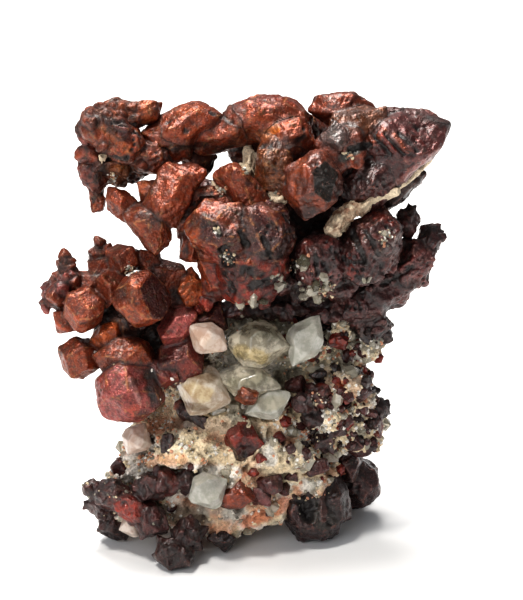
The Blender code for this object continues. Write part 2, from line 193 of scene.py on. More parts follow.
def make_floor():
    """A square of pale card, far larger than the picture, with its top in the plane z = 0."""
    half = FLOOR_SIZE / 2
    mesh = bpy.data.meshes.new("floor")
    mesh.from_pydata([(-half, -half, 0), (half, -half, 0), (half, half, 0), (-half, half, 0)],
                     [], [(0, 1, 2, 3)])
    card, _, shader = new_finish("pale_card")
    shader.inputs["Base Color"].default_value = CARD_COLOUR
    shader.inputs["Roughness"].default_value = CARD_ROUGHNESS
    mesh.materials.append(card)
    floor = bpy.data.objects.new("floor", mesh)
    bpy.context.scene.collection.objects.link(floor)


make_lamp("overhead", **OVERHEAD)
make_lamp("glint", **GLINT)
make_lamp("front", **FRONT)
make_world()
make_floor()
bpy.context.scene.view_settings.view_transform = "Standard"
bpy.context.scene.view_settings.look = "Medium High Contrast"
print("lamps:", sorted(light.name for light in bpy.data.lights))

# %% [markdown]
# ## Noise
#
# Rock and grown metal are never even. A repeatable chance value for every small cube of space is the
# base of it: blended across the cube it gives soft lumps, and lumps on lumps give roughness. It could
# also be done by a Displace modifier, but as arrays the same numbers can shape and colour a surface.

# %% Lumps, roughness and pits
MASK = 0xFFFFFFFF  # keeps 32 bits of a number
CELL_PRIMES = (73856093, 19349663, 83492791)
SEED_PRIME = 668265263
MIXING = ((15, 2246822519), (13, 3266489917))  # how far the bits move, and what they are multiplied by
LAST_MOVE = 16


def chance_of(cell, seed):
    """A number from 0 to 1 for each whole-number cell: its three numbers, mixed bit by bit."""
    x, y, z = (cell[..., axis] * prime for axis, prime in enumerate(CELL_PRIMES))
    bits = (x ^ y ^ z ^ (seed * SEED_PRIME)) & MASK
    for move, prime in MIXING:
        bits = ((bits ^ (bits >> move)) * prime) & MASK
    return (bits ^ (bits >> LAST_MOVE)) / MASK


def lumps(points, size, seed):
    """Noise from -1 to 1: chance values at the corners of cubes, blended smoothly across them."""
    scaled = points / size
    cell = np.floor(scaled).astype(np.int64)
    part = scaled - cell
    part = part * part * (3 - 2 * part)
    total = np.zeros(len(points))
    for corner in itertools.product((0, 1), repeat=3):
        share = np.prod(np.where(corner, part, 1 - part), axis=1)
        total += share * chance_of(cell + corner, seed)
    return 2 * total - 1


TWIST = np.array([[0.36, 0.48, -0.8], [-0.8, 0.6, 0.0], [0.48, 0.64, 0.6]])
CREST_STEEPNESS = 3.2


def rough(points, size, layers, seed, fade=0.5):
    """Lumps on lumps: each layer is turned, half as wide and fade times as high as the last."""
    total = np.zeros(len(points))
    for layer in range(layers):
        total += fade**layer * lumps(points, size / 2**layer, seed + layer)
        points = points @ TWIST
    return total * (1 - fade) / (1 - fade**layers)


def ridged(points, size, layers, seed, fade=0.55):
    """Noise with sharp crests where soft lumps change sign, layer on layer, from about -1 to 1."""
    total = np.zeros(len(points))
    for layer in range(layers):
        crest = 1 - CREST_STEEPNESS * np.abs(lumps(points, size / 2**layer, seed + layer))
        total += fade**layer * crest
        points = points @ TWIST
    return np.maximum(total * (1 - fade) / (1 - fade**layers), -1)


def scatter_distance(points, size, seed):
    """Distance, in sizes, to the nearest of many points scattered one to a cube."""
    scaled = points / size
    cell = np.floor(scaled).astype(np.int64)
    nearest = np.full(len(points), np.inf)
    for step in itertools.product((-1, 0, 1), repeat=3):
        home = cell + step
        jitter = np.stack([chance_of(home, seed + axis) for axis in range(3)], axis=1)
        nearest = np.minimum(nearest, np.sum((home + jitter - scaled) ** 2, axis=1))
    return np.sqrt(nearest)


def smooth_between(low, high, value):
    """0 below low, 1 above high, and an s-shaped rise between them."""
    part = np.clip((value - low) / (high - low), 0, 1)
    return part * part * (3 - 2 * part)


def bent(points, amount, size, seed):
    """Points moved by soft noise in all three directions, so that flat faces and edges bend."""
    return points + amount * np.column_stack([rough(points, size, 2, seed + axis) for axis in range(3)])


def stepped(value, count, slope=0.25):
    """Turns a smooth value into flat steps, count to the unit, with a short slope between them."""
    scaled = value * count
    whole = np.floor(scaled)
    return (whole + smooth_between(1 - slope, 1, scaled - whole)) / count


sample = np.random.default_rng(1).uniform(-50, 50, (20000, 3))
print("noise from", rough(sample, 2.0, 4, 5).min().round(2), "to", rough(sample, 2.0, 4, 5).max().round(2))

# %% [markdown]
# ## Colours
#
# A colour is written as the screen shows it, in sixteens, and turned into the linear values that the
# render needs. The copper's tarnish runs from bright orange over rust to plum and nearly black.

# %% Name the colours
def colour(code):
    """Linear red, green and blue of a colour that is written as six hexadecimal digits."""
    screen = np.array([int(code[i : i + 2], 16) for i in (0, 2, 4)]) / 255
    return np.where(screen <= 0.04045, screen / 12.92, ((screen + 0.055) / 1.055) ** 2.4)


def tinted(tint, toward, share):
    """Each point's tint moved towards another colour: tint + (toward - tint) * share."""
    return tint + (toward - tint) * share[:, None]


ORANGE = colour("9c4a20")
RUST = colour("823b22")
RED = colour("842c1e")
CRIMSON = colour("904540")
PLUM = colour("653532")
MAROON = colour("4c2320")
OLIVE = colour("6c3f24")
GREENISH = colour("332c26")
DARK = colour("2a1815")
SLATE = colour("4a4442")
print("orange in linear values:", ORANGE.round(3))

# %% [markdown]
# ## Crystal shapes
#
# A copper crystal has the flat faces of a cubic crystal, but its edges are blunt. Both come from one
# formula. For a direction u, each face i gives the share u·n/d, where n is the face's direction and d
# its distance. The largest share alone would give a sharp solid. The p-th root of the sum of their
# p-th powers gives the same solid with blunt edges: the higher p is, the sharper it gets. The
# surface's distance in the direction u is one over that number.

# %% Faces of the crystals
def family(*face):
    """Every direction that a cubic crystal's symmetry makes from one face."""
    found = {
        tuple(sign * value for sign, value in zip(signs, order))
        for order in itertools.permutations(face)
        for signs in itertools.product((1, -1), repeat=3)
    }
    faces = np.array(sorted(found), float)
    return faces / np.linalg.norm(faces, axis=1, keepdims=True)


PRISM_DISTANCE = 0.9
POINT_SLOPE = 0.85  # radians


def quartz_faces():
    """A six-sided prism along x, with a six-sided point at each end."""
    turn = np.radians(np.arange(30, 390, 60))
    around = np.column_stack([0 * turn, np.cos(turn), np.sin(turn)])
    slope = np.array([math.sin(POINT_SLOPE), math.cos(POINT_SLOPE), math.cos(POINT_SLOPE)])
    ends = np.vstack([(around + [side, 0, 0]) * slope for side in (1, -1)])
    return np.vstack([around, ends]), np.repeat([PRISM_DISTANCE, math.sin(POINT_SLOPE)], [6, 12])


HABITS = {  # faces of each family, with their distance from the crystal's centre
    "blunt": [((1, 0, 0), 0.94), ((1, 1, 0), 0.97)],
    "dozen": [((1, 1, 0), 0.87)],
    "slab": [((1, 0, 0), 0.93), ((1, 1, 0), 1.13)],
    "lump": [((1, 1, 0), 0.96), ((1, 1, 1), 0.92)],
    "bit": [((1, 0, 0), 0.84)],
}
CORNER_CUT = 0.88
CORNERS_CUT = np.array([[1, 1, 1], [1, -1, -1], [-1, 1, -1], [-1, -1, 1]]) / math.sqrt(3)
UNEVEN = {"quartz": 0.12, "slab": 0.05, "lump": 0.14}
UNEVEN_COPPER = 0.09
ALIGNED = ("quartz", "slab")  # habits whose faces follow the crystal's own length
SHARPNESS = {"blunt": 22, "dozen": 26, "slab": 20, "lump": 9, "bit": 22, "quartz": 70}


def faces_of(habit):
    """The unit crystal's face directions and their distances from its centre."""
    if habit == "quartz":
        return quartz_faces()
    directions = [family(*face) for face, _ in HABITS[habit]]
    distances = [np.full(len(d), far) for d, (_, far) in zip(directions, HABITS[habit])]
    if habit == "bit":
        directions.append(CORNERS_CUT)
        distances.append(np.full(len(CORNERS_CUT), CORNER_CUT))
    return np.vstack(directions), np.concatenate(distances)


print("faces of each habit:", {habit: len(faces_of(habit)[1]) for habit in SHARPNESS})

# %% [markdown]
# ## Placing a crystal
#
# A crystal is its unit shape, stretched along three axes, rolled in the picture and set at a pixel. Its
# seed follows from the pixel, so that each has its own uneven faces, and they stay as they are when
# the table around it changes. A cut is one more flat face, as where a crystal broke or grew against
# something. Small crystals have two short forms: a nub alone, and a twig of many in a row.

# %% Place a crystal
def turned(roll, lean=0.0, spin=0.0):
    """Turns about the first axis, leans it toward the third, then rolls it in the picture."""
    r, n, s = (math.radians(angle) for angle in (roll, lean, spin))
    about_x = np.array([[1, 0, 0], [0, math.cos(s), -math.sin(s)], [0, math.sin(s), math.cos(s)]])
    about_y = np.array([[math.cos(n), 0, -math.sin(n)], [0, 1, 0], [math.sin(n), 0, math.cos(n)]])
    about_z = np.array([[math.cos(r), -math.sin(r), 0], [math.sin(r), math.cos(r), 0], [0, 0, 1]])
    return about_z @ about_y @ about_x


def crystal_at(middle, half, roll, habit, seed, cuts=(), tint=None):
    """One crystal: its middle, half sizes, roll in the picture, habit, seed and tarnish.

    A cut is a flat face's direction, as right, up and near, its distance and its own tarnish.
    """
    directions, distances = faces_of(habit)
    chance = np.random.default_rng(seed)
    uneven = UNEVEN.get(habit, UNEVEN_COPPER)
    distances = distances * (1 + uneven * chance.uniform(-1, 1, len(distances)))
    angles = chance.uniform(0, 360, 3)
    if habit not in ALIGNED:
        directions = directions @ turned(*angles).T
    half = np.array(half, float)
    tints = [tint] * len(directions)
    for toward, far, flat_tint in cuts:
        flat = turned(roll).T @ (np.array(toward) / np.linalg.norm(toward))
        reach = np.linalg.norm(flat * half)
        directions = np.vstack([directions, flat * half / reach])
        distances = np.append(distances, far / reach)
        tints.append(flat_tint)
    return {
        "middle": middle,
        "axes": PICTURE_AXES @ turned(roll),
        "half": half,
        "slopes": directions / distances[:, None],
        "power": SHARPNESS[habit],
        "tints": tints,
        "seed": seed,
    }


def crystal(px, py, near, length, width, depth, roll=0.0, habit="dozen", cuts=(), tint=None):
    """A crystal at a pixel, some millimetres in front of the middle plane."""
    seed = int(px) * 1000 + int(py)
    return crystal_at(place(px, py, near), (length, width, depth), roll, habit, seed, cuts, tint)


NUB_WIDTH = 0.95
TWIG_SIZES = 0.3  # how far a twig's crystals differ in size


def nub(px, py, near, radius, tint=None):
    """A small crystal with no clear length."""
    return crystal(px, py, near, radius, NUB_WIDTH * radius, radius, habit="bit", tint=tint)


def twig(x0, y0, x1, y1, near, radius, count, tint=None, spread=2.5):
    """Tiny crystals strung from one pixel to another, each with a chance step to the side."""
    chance = np.random.default_rng(int(x0) * 1000 + int(y0) + count)
    steps = chance.uniform(-1, 1, (count, 4)) * [spread, spread, spread * PIXEL, TWIG_SIZES]
    return [nub(x0 + (x1 - x0) * part + side, y0 + (y1 - y0) * part + up, near + depth,
                radius * (1 + size), tint)
            for part, (side, up, depth, size) in zip(np.linspace(0, 1, count), steps)]


one_nub = nub(268, 120, 0, 2.0)
print("middle of one nub, in mm:", one_nub["middle"].round(1))

# %% [markdown]
# ## Reading the formula
#
# The level of a point says where it lies: below 1 it is inside the crystal, at 1 on its surface and
# above 1 outside. Everything that follows reads it. The first use is a druse, the crust of small
# crystals that sits on large ones: each goes to where a chance ray leaves a large crystal, unless
# that place lies inside another.

# %% Read the formula
def shares(row, points):
    """How near each face a point lies, as seen from the crystal's middle: 1 is on the face."""
    local = (points - row["middle"]) @ row["axes"] / row["half"]
    return np.maximum(local @ row["slopes"].T, 0.0)


def level(row, points):
    """The p-th root of the sum of the shares' p-th powers: 1 on the crystal's blunt surface."""
    share = shares(row, points)
    top = np.maximum(share.max(axis=1), 1e-9)
    return top * ((share / top[:, None]) ** row["power"]).sum(axis=1) ** (1 / row["power"])


DRUSE_SIZES = (0.6, 1.3)
DRUSE_WIDTH = 0.85
BURIED = 0.97  # below this level a point lies inside another crystal


def druse(rows, count, radius, tint, seed, sink=0.35):
    """Small crystals at chance places on the outside of larger ones, each partly sunk in."""
    chance = np.random.default_rng(seed)
    small = []
    while len(small) < count:
        row = rows[chance.integers(len(rows))]
        ray = row["axes"] @ (chance.normal(size=3) * row["half"])
        point = row["middle"] + ray / level(row, (row["middle"] + ray)[None])[0]
        size = radius * chance.uniform(*DRUSE_SIZES)
        own_seed = int(chance.integers(1_000_000))
        inside = any(level(other, point[None])[0] < BURIED for other in rows)
        if not inside and point[2] > size:
            point = point - sink * size * ray / np.linalg.norm(ray)
            half = (size, DRUSE_WIDTH * size, size)
            small.append(crystal_at(point, half, chance.uniform(0, 180), "bit", own_seed, (), tint))
    return small


print("small crystals on one nub:", len(druse([one_nub], 5, 0.5, None, 1)))

# %% [markdown]
# ## From formula to surface
#
# A crystal's surface is a function of two angles on a grid, ring by ring from tip to tip, and each
# point is pushed out to the formula's distance.

# %% Work out a surface
def ball_grid(rings, sides):
    """Directions on a ball by two angles, a tip at each end of x, and the faces between them."""
    along = np.linspace(0, np.pi, rings + 2)[1:-1]
    around = np.linspace(0, 2 * np.pi, sides, endpoint=False)
    a, b = np.meshgrid(along, around, indexing="ij")
    body = np.stack([np.cos(a), np.sin(a) * np.cos(b), np.sin(a) * np.sin(b)], axis=-1)
    directions = np.vstack([[[1.0, 0.0, 0.0]], body.reshape(-1, 3), [[-1.0, 0.0, 0.0]]])
    here = 1 + np.arange(rings)[:, None] * sides + np.arange(sides)
    beside = np.roll(here, -1, axis=1)
    squares = np.stack([here[:-1], here[1:], beside[1:], beside[:-1]], axis=-1).reshape(-1, 4)
    last = len(directions) - 1
    first_tip = np.stack([0 * here[0], here[0], beside[0]], axis=-1)
    last_tip = np.stack([0 * here[-1] + last, beside[-1], here[-1]], axis=-1)
    triangles = np.vstack([first_tip, last_tip, squares[:, [0, 1, 2]], squares[:, [0, 2, 3]]])
    return directions, triangles


def crystal_surface(row, rings=40, sides=56):
    """The crystal's points and triangles: each direction, stretched, over its level."""
    directions, triangles = ball_grid(rings, sides)
    rays = (directions * row["half"]) @ row["axes"].T
    reach = level(row, row["middle"] + rays)
    return row["middle"] + rays / reach[:, None], triangles


print("points and triangles of one nub:", *(len(part) for part in crystal_surface(one_nub)))

# %% [markdown]
# ## From surfaces to one skin
#
# Crystals that grew into each other have one surface. A voxel remesh fuses them into one skin of small
# even squares. It rounds the edges off, so later every point of the skin is set back onto its
# crystal's formula. A Boolean union would keep the edges, but it can fail where many crystals meet,
# and its long thin faces can't carry any relief.

# %% Fuse surfaces into a skin
def make_mesh(name, points, faces, scale=METRE):
    """A mesh from an array of points and an array of triangles or squares."""
    mesh = bpy.data.meshes.new(name)
    count, corners = faces.shape
    mesh.vertices.add(len(points))
    mesh.vertices.foreach_set("co", (points * scale).astype(np.float32).ravel())
    mesh.loops.add(count * corners)
    mesh.loops.foreach_set("vertex_index", faces.astype(np.int32).ravel())
    mesh.polygons.add(count)
    mesh.polygons.foreach_set("loop_start", np.arange(0, count * corners, corners, dtype=np.int32))
    mesh.update(calc_edges=True)
    return mesh


def joined(surfaces):
    """Several surfaces as one array of points and one of faces."""
    starts = np.cumsum([0] + [len(points) for points, _ in surfaces])
    points = np.vstack([points for points, _ in surfaces])
    faces = np.vstack([faces + start for (_, faces), start in zip(surfaces, starts)])
    return points, faces


def skin(surfaces, voxel):
    """One closed skin of small squares around closed surfaces that run into each other."""
    block = bpy.data.objects.new("block", make_mesh("block", *joined(surfaces), scale=1.0))
    bpy.context.scene.collection.objects.link(block)
    modifier = block.modifiers.new("skin", "REMESH")
    modifier.mode = "VOXEL"
    modifier.voxel_size = voxel
    seen = block.evaluated_get(bpy.context.evaluated_depsgraph_get())
    mesh = bpy.data.meshes.new_from_object(seen)
    points = np.empty(len(mesh.vertices) * 3, np.float32)
    mesh.vertices.foreach_get("co", points)
    squares = np.empty(len(mesh.loops), np.int32)
    mesh.loops.foreach_get("vertex_index", squares)
    bpy.data.objects.remove(block)
    bpy.data.meshes.remove(mesh)
    return points.reshape(-1, 3).astype(float), squares.reshape(-1, 4)


def outward(points, squares):
    """The direction square to the skin at each point: the sum of its squares' normals."""
    corner = points[squares]
    normal = np.cross(corner[:, 2] - corner[:, 0], corner[:, 3] - corner[:, 1])
    total = np.zeros_like(points)
    for axis in range(3):
        for turn in range(4):
            total[:, axis] += np.bincount(squares[:, turn], normal[:, axis], len(points))
    return total / np.maximum(np.linalg.norm(total, axis=1, keepdims=True), 1e-12)


print("squares in the skin of one nub:", len(skin([crystal_surface(one_nub)], 0.3)[1]))

# %% [markdown]
# ## What a point of the skin belongs to
#
# The same formula colours the copper. A point takes the tarnish of the crystal that it lies on, with
# a soft change towards its neighbours. Where a second crystal is close there is a crease, where shade
# is painted later, and where two faces of one crystal are equally near there is an edge, which wears
# bright.

# %% Clearances, creases and edges
FAR = 99.0
CLOSE = 2.5  # millimetres within which a crystal is a neighbour
ROOM = 1.2  # times a crystal's longest half size, which holds all of it
CREASE_WIDTH = 0.55
EDGE_STARTS = 0.95  # an edge is where the second nearest face's share is so much of the nearest's
FACE_SHADE = 0.6
CRYSTAL_SHADE = 0.4


def clearances(rows, points):
    """How far each point lies outside each crystal: its distance from the middle, less its share."""
    away = np.full((len(rows), len(points)), FAR)
    for outside, row in zip(away, rows):
        reach = np.linalg.norm(points - row["middle"], axis=1)
        close = reach < row["half"].max() * ROOM + CLOSE
        outside[close] = reach[close] * (1 - 1 / level(row, points[close]))
    return away


def set_back(rows, points):
    """Moves each point straight towards or from its nearest crystal's middle, onto the formula."""
    owner = clearances(rows, points).argmin(axis=0)
    moved = points.copy()
    for index, row in enumerate(rows):
        mine = owner == index
        ray = points[mine] - row["middle"]
        moved[mine] = row["middle"] + ray / level(row, points[mine])[:, None]
    return moved


def read_skin(rows, points, base_tint, blend):
    """Tarnish, crease and edge at each point, from the crystals' formulas."""
    away = clearances(rows, points)
    owner = away.argmin(axis=0)
    ordered = np.sort(away, axis=0)
    crease = np.exp(-np.maximum(ordered[1] - ordered[0], 0) / CREASE_WIDTH)
    edge = np.zeros(len(points))
    own_tint = np.zeros((len(points), 3))
    shade = np.zeros(len(points))
    for index, row in enumerate(rows):
        mine = owner == index
        share = shares(row, points[mine])
        top_two = np.sort(share, axis=1)[:, -2:]
        edge[mine] = smooth_between(EDGE_STARTS, 1.0, top_two[:, 0] / np.maximum(top_two[:, 1], 1e-9))
        face = share.argmax(axis=1)
        tints = np.array([base_tint if tint is None else tint for tint in row["tints"]])
        chance = np.random.default_rng(row["seed"]).uniform(-1, 1, len(tints) + 1)
        own_tint[mine] = tints[face]
        shade[mine] = FACE_SHADE * chance[face] + CRYSTAL_SHADE * chance[-1]
    weight = np.exp(-(away - ordered[0]) / blend)
    first_tints = [row["tints"][0] for row in rows]
    middle_tints = np.array([base_tint if tint is None else tint for tint in first_tints])
    blended = weight.T @ middle_tints / weight.sum(axis=0)[:, None]
    special = np.abs(own_tint - middle_tints[owner]).max(axis=1) > 0
    tint = np.where(special[:, None], own_tint, blended)
    return tint, shade, crease, edge


above_nub = one_nub["middle"] + [[0.0, 0.0, 3.0]]
print("a point 3 mm above a nub's middle clears it, in mm, by", clearances([one_nub], above_nub).round(2))

# %% [markdown]
# ## The copper's relief
#
# Under a lens the copper is not smooth. It has low hills, growth plates with small steps between them,
# sharp crests, pits where other minerals sat, a fine grit, and on each crystal faint lines along its
# length. All of it is noise, moved out along the skin's own normal. Anything finer than a quarter of a
# millimetre is left to the material.

# %% Raise the relief
COPPER_VOXEL = 0.24
HILL_SIZE = 3.4
CREST_SIZE = 3.0
PLATE_SIZE = 2.6
PLATE_STEPS = 5
PIT_PATCH_SIZE = 4.0
PIT_SIZE = 1.2
GRIT_SIZE = 0.8
LINE_WIDTH = 0.9


def copper_relief(points, seed, hills=0.25, plates=0.35, crests=0.22, pits=0.45, grit=0.14):
    """Hills, plus crests, plus steps between growth plates, less pits in patches, plus grit."""
    height = hills * rough(points, HILL_SIZE, 3, seed)
    height += crests * ridged(points, CREST_SIZE, 3, seed + 60)
    height += plates * stepped(rough(points, PLATE_SIZE, 3, seed + 10), PLATE_STEPS)
    patch = smooth_between(0.0, 0.4, lumps(points, PIT_PATCH_SIZE, seed + 30))
    pit = smooth_between(0.55, 0.1, scatter_distance(points, PIT_SIZE, seed + 20))
    height -= pits * patch * pit
    height += grit * rough(points, GRIT_SIZE, 2, seed + 40)
    return height


def stripes(rows, points):
    """Lines along each crystal's length: noise in its own axes, drawn out four times along x."""
    owner = clearances(rows, points).argmin(axis=0)
    height = np.zeros(len(points))
    for index, row in enumerate(rows):
        mine = owner == index
        local = (points[mine] - row["middle"]) @ row["axes"]
        height[mine] = rough(local * [0.25, 1.0, 1.0], LINE_WIDTH, 2, row["seed"] % 997)
    return height


print("relief, in mm, up to", copper_relief(sample, 5).max().round(2))

# %% [markdown]
# ## Weathering
#
# No crystal has one even colour. Its tarnish glows warmer in places, mostly below, a grey film lies
# on what faces up, partly dust and partly painted sheen where the light falls from above, and dark
# patches run across. Noise says where each of them is.

# %% Weather the tarnish
EMBER_SIZE = 2.6
DARK_SIZE = 3.3
DUST_AND_SHEEN_SIZE = 1.4
EMBER_SHARE = 0.75
DARK_SHARE = 0.6
DUST_AND_SHEEN_SHARE = 0.7
WARMER = (1.45, 1.15, 0.75)
# The grey of the dust and painted sheen on faces that turn up.
DUST_AND_SHEEN = colour("7c6c68")


def weather(points, normals, tint, seed):
    """Tarnish that changes over a crystal: embers below, grey dust and painted sheen on top, dark patches.
    """
    facing_up = smooth_between(0.1, 0.9, normals[:, 2])
    ember = smooth_between(0.05, 0.5, rough(points, EMBER_SIZE, 3, seed) - 0.25 * facing_up)
    dark = smooth_between(0.1, 0.5, rough(points, DARK_SIZE, 4, seed + 5))
    # Dust and painted sheen: a grey film on faces that turn up.
    dust_and_sheen = facing_up * smooth_between(-0.2, 0.4, rough(points, DUST_AND_SHEEN_SIZE, 3, seed + 9))
    warm = tint * WARMER
    cool = 0.6 * tint + 0.4 * DUST_AND_SHEEN
    tint = tinted(tint, warm, EMBER_SHARE * ember)
    tint = tinted(tint, cool, DUST_AND_SHEEN_SHARE * dust_and_sheen)
    return tint * (1 - DARK_SHARE * dark)[:, None]


weathered = weather(sample, sample / 50, RUST, 5)
print("rust in linear values:", RUST.round(3), "weathered, on average:", weathered.mean(axis=0).round(3))

# %% [markdown]
# ## Marks
#
# Some things sit in one place only: a groove in the wedge, a bright patch on the crown, a green film in
# a hollow. Each is a mark: a stroke from one pixel to another on the front of the specimen, with a
# width, a colour and a height. Noise frays its border, and it fades where the skin turns away. Some
# marks paint light and shade too: a dark one that sinks in paints shade into its hollow, and a bright
# one on a ridge paints glints.

# %% Draw marks on a skin
MARK_FRAY = 0.45
FRAY_SIZE = 1.3
FRAY_SEED = 7


def mark(x0, y0, x1, y1, width, tint=None, share=0.8, raised=0.0):
    """A stroke between two pixels: width in pixels, raised in millimetres."""
    return {"ends": np.array([[x0, y0], [x1, y1]], float), "width": width, "tint": tint,
            "share": share, "raised": raised}


def draw_marks(marks, points, normals, tint):
    """The tint and the height that the marks give, by each point's distance from their strokes."""
    spots = pixels_of(points)
    fray = MARK_FRAY * rough(points, FRAY_SIZE, 3, FRAY_SEED)
    facing = smooth_between(-0.1, 0.3, normals @ NEAR)
    height = np.zeros(len(points))
    for one in marks:
        start, run = one["ends"][0], one["ends"][1] - one["ends"][0]
        along = np.clip((spots - start) @ run / max(run @ run, 1e-9), 0, 1)
        off = np.linalg.norm(spots - start - along[:, None] * run, axis=1) / one["width"]
        strength = facing * smooth_between(1.1, 0.5, off + fray)
        height += one["raised"] * strength
        if one["tint"] is not None:
            tint = tinted(tint, one["tint"], one["share"] * strength)
    return tint, height


print("a groove as a mark:", mark(374, 134, 390, 154, 3, raised=-0.6))

# %% [markdown]
# ## Fields and pieces
#
# What was worked out at each point is stored on the mesh as named fields, which the finishes read. The
# finished mesh becomes an object that belongs to the specimen's one body and may stand in for nodes
# of the solid model. Images would do for the colours too, but fields need no unwrapping.

# %% Store fields and add pieces
def add_field(mesh, name, values):
    """Stores a number or a colour for every point of a mesh."""
    if values.ndim == 1:
        kind, key = "FLOAT", "value"
    else:
        kind, key = "FLOAT_COLOR", "color"
        values = np.column_stack([values, np.ones(len(values))]).ravel()
    mesh.attributes.new(name, kind, "POINT").data.foreach_set(key, values.astype(np.float32))


def add_piece(name, mesh, finish, slot, *nodes, smooth=True):
    """Puts a finished mesh in the scene, with its finish, in place of its nodes."""
    mesh.materials.append(finish)
    if smooth:
        mesh.shade_smooth()
    else:
        mesh.shade_flat()
    piece = bpy.data.objects.new(name, mesh)
    bpy.context.scene.collection.objects.link(piece)
    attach(piece, "root")
    if nodes:
        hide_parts(*nodes)
    return piece

# %% [markdown]
# ## Shader helpers
#
# The finishes are networks of nodes. Small helpers keep them short: one adds a node and sets its
# sockets, one makes a group with named sockets, one reads a field that was stored on the mesh, and the
# others each stand for one kind of node that every finish needs.

# %% Add nodes by name
def add_node(tree, kind, settings=None, **sockets):
    """A node with its settings, and each socket linked or set: s0 is the first, or it has a name."""
    made = tree.nodes.new(kind)
    for key, value in (settings or {}).items():
        setattr(made, key, value)
    for key, value in sockets.items():
        socket = made.inputs[int(key[1:])] if key[0] == "s" and key[1:].isdigit() else made.inputs[key]
        if isinstance(value, bpy.types.NodeSocket):
            tree.links.new(value, socket)
        else:
            socket.default_value = value
    return made


def new_group(name, inputs, outputs):
    """An empty shader group with named sockets, and its two ends."""
    tree = bpy.data.node_groups.new(name, "ShaderNodeTree")
    for side, sockets in (("INPUT", inputs), ("OUTPUT", outputs)):
        for socket, kind in sockets.items():
            tree.interface.new_socket(socket, in_out=side, socket_type="NodeSocket" + kind)
    return tree, tree.nodes.new("NodeGroupInput").outputs, tree.nodes.new("NodeGroupOutput").inputs


def field(tree, name, part="Color"):
    """A field of the mesh, as a colour or as a number."""
    return add_node(tree, "ShaderNodeAttribute", {"attribute_name": name}).outputs[part]


def math_of(tree, operation, first, second=0.0, clamp=False):
    """One sum, product or the like, of numbers or sockets."""
    settings = {"operation": operation, "use_clamp": clamp}
    return add_node(tree, "ShaderNodeMath", settings, s0=first, s1=second).outputs[0]


def sloped(tree, value, slope, start):
    """start + slope * value."""
    return add_node(tree, "ShaderNodeMath", {"operation": "MULTIPLY_ADD"}, s0=value, s1=slope,
                    s2=start).outputs[0]


def mixed(tree, factor, first, second, blend="MIX"):
    """The second colour over the first, by a factor."""
    settings = {"data_type": "RGBA", "blend_type": blend}
    return add_node(tree, "ShaderNodeMix", settings, s0=factor, s6=first, s7=second).outputs[2]


def between(tree, value, low, high, to_low=0.0, to_high=1.0):
    """A value stretched from one range to another and held inside it, with soft ends."""
    settings = {"interpolation_type": "SMOOTHSTEP"}
    return add_node(tree, "ShaderNodeMapRange", settings, s0=value, s1=low, s2=high,
                    s3=to_low, s4=to_high).outputs[0]


def in_millimetres(tree):
    """The piece's own coordinates, in millimetres."""
    own = add_node(tree, "ShaderNodeTexCoord").outputs["Object"]
    return add_node(tree, "ShaderNodeMapping", s0=own, s3=(1000.0, 1000.0, 1000.0)).outputs[0]


def noise(tree, where, per_mm, detail=3.0, roughness=0.55):
    """Soft noise from 0 to 1 with so many lumps to the millimetre."""
    return add_node(tree, "ShaderNodeTexNoise", Vector=where, Scale=per_mm, Detail=detail,
                    Roughness=roughness).outputs[0]


def patches(tree, where, per_mm, detail, roughness, low, high, to_low=0.0, to_high=1.0):
    """Soft patches: noise, cut off below low and above high."""
    return between(tree, noise(tree, where, per_mm, detail, roughness), low, high, to_low, to_high)


def add_bump(tree, shader, height, strength, distance):
    """Relief that only the light feels, over a distance in metres."""
    relief = add_node(tree, "ShaderNodeBump", Strength=strength, Distance=distance, Height=height)
    tree.links.new(relief.outputs[0], shader.inputs["Normal"])

# %% [markdown]
# ## The tarnish
#
# Old native copper is brown, not bright. Its tarnish lies in blotches, with pinkish flecks where the
# metal shows, a greenish-black film in places and brighter metal on worn edges. Creases get painted
# shade: they turn nearly black, rougher and less metallic. One group makes all of that from the fields
# of the mesh, and every copper finish uses it.

# %% Build the tarnish group
# Each pattern: lumps to the millimetre, detail, roughness, and the noise at its lower and upper end.
BLOTCHES = (0.9, 6.0, 0.72, 0.44, 0.60)
FLECKS = (2.8, 4.0, 0.7, 0.57, 0.68)
FILMS = (0.8, 5.0, 0.68, 0.54, 0.64)
WEAR = (0.8, 3.0, 0.55, 0.4, 0.7, 0.0, 0.55)
BLOTCH_TINT = (0.30, 0.22, 0.22, 1.0)
# Nearly black: the painted shade in the creases, which also turn rougher and less metallic.
CREASE_SHADE_COLOUR = (0.012, 0.008, 0.007, 1.0)
SHADE_SPREAD = 0.28
BLOTCH_SHARE = 0.75
FILM_SHARE = 0.5
FLECK_SHARE = 0.42
CREASE_SHADE_SHARE = 0.95
PLAIN_ROUGHNESS = 0.29
BLOTCH_ROUGHER = 0.24
CREASE_ROUGHER = 0.3
PLAIN_METAL = 0.56
# Metal is lost under blotches, and in the creases, where shade is painted.
BLOTCH_HIDES = 0.30  # metal that a blotch takes away, and the next one what dirt does
CREASE_HIDES = 0.5
FINE_RELIEF = (2.2, 3.0, 0.55)
FACETS_PER_MM = 2.6
FACET_SHARE = 0.45


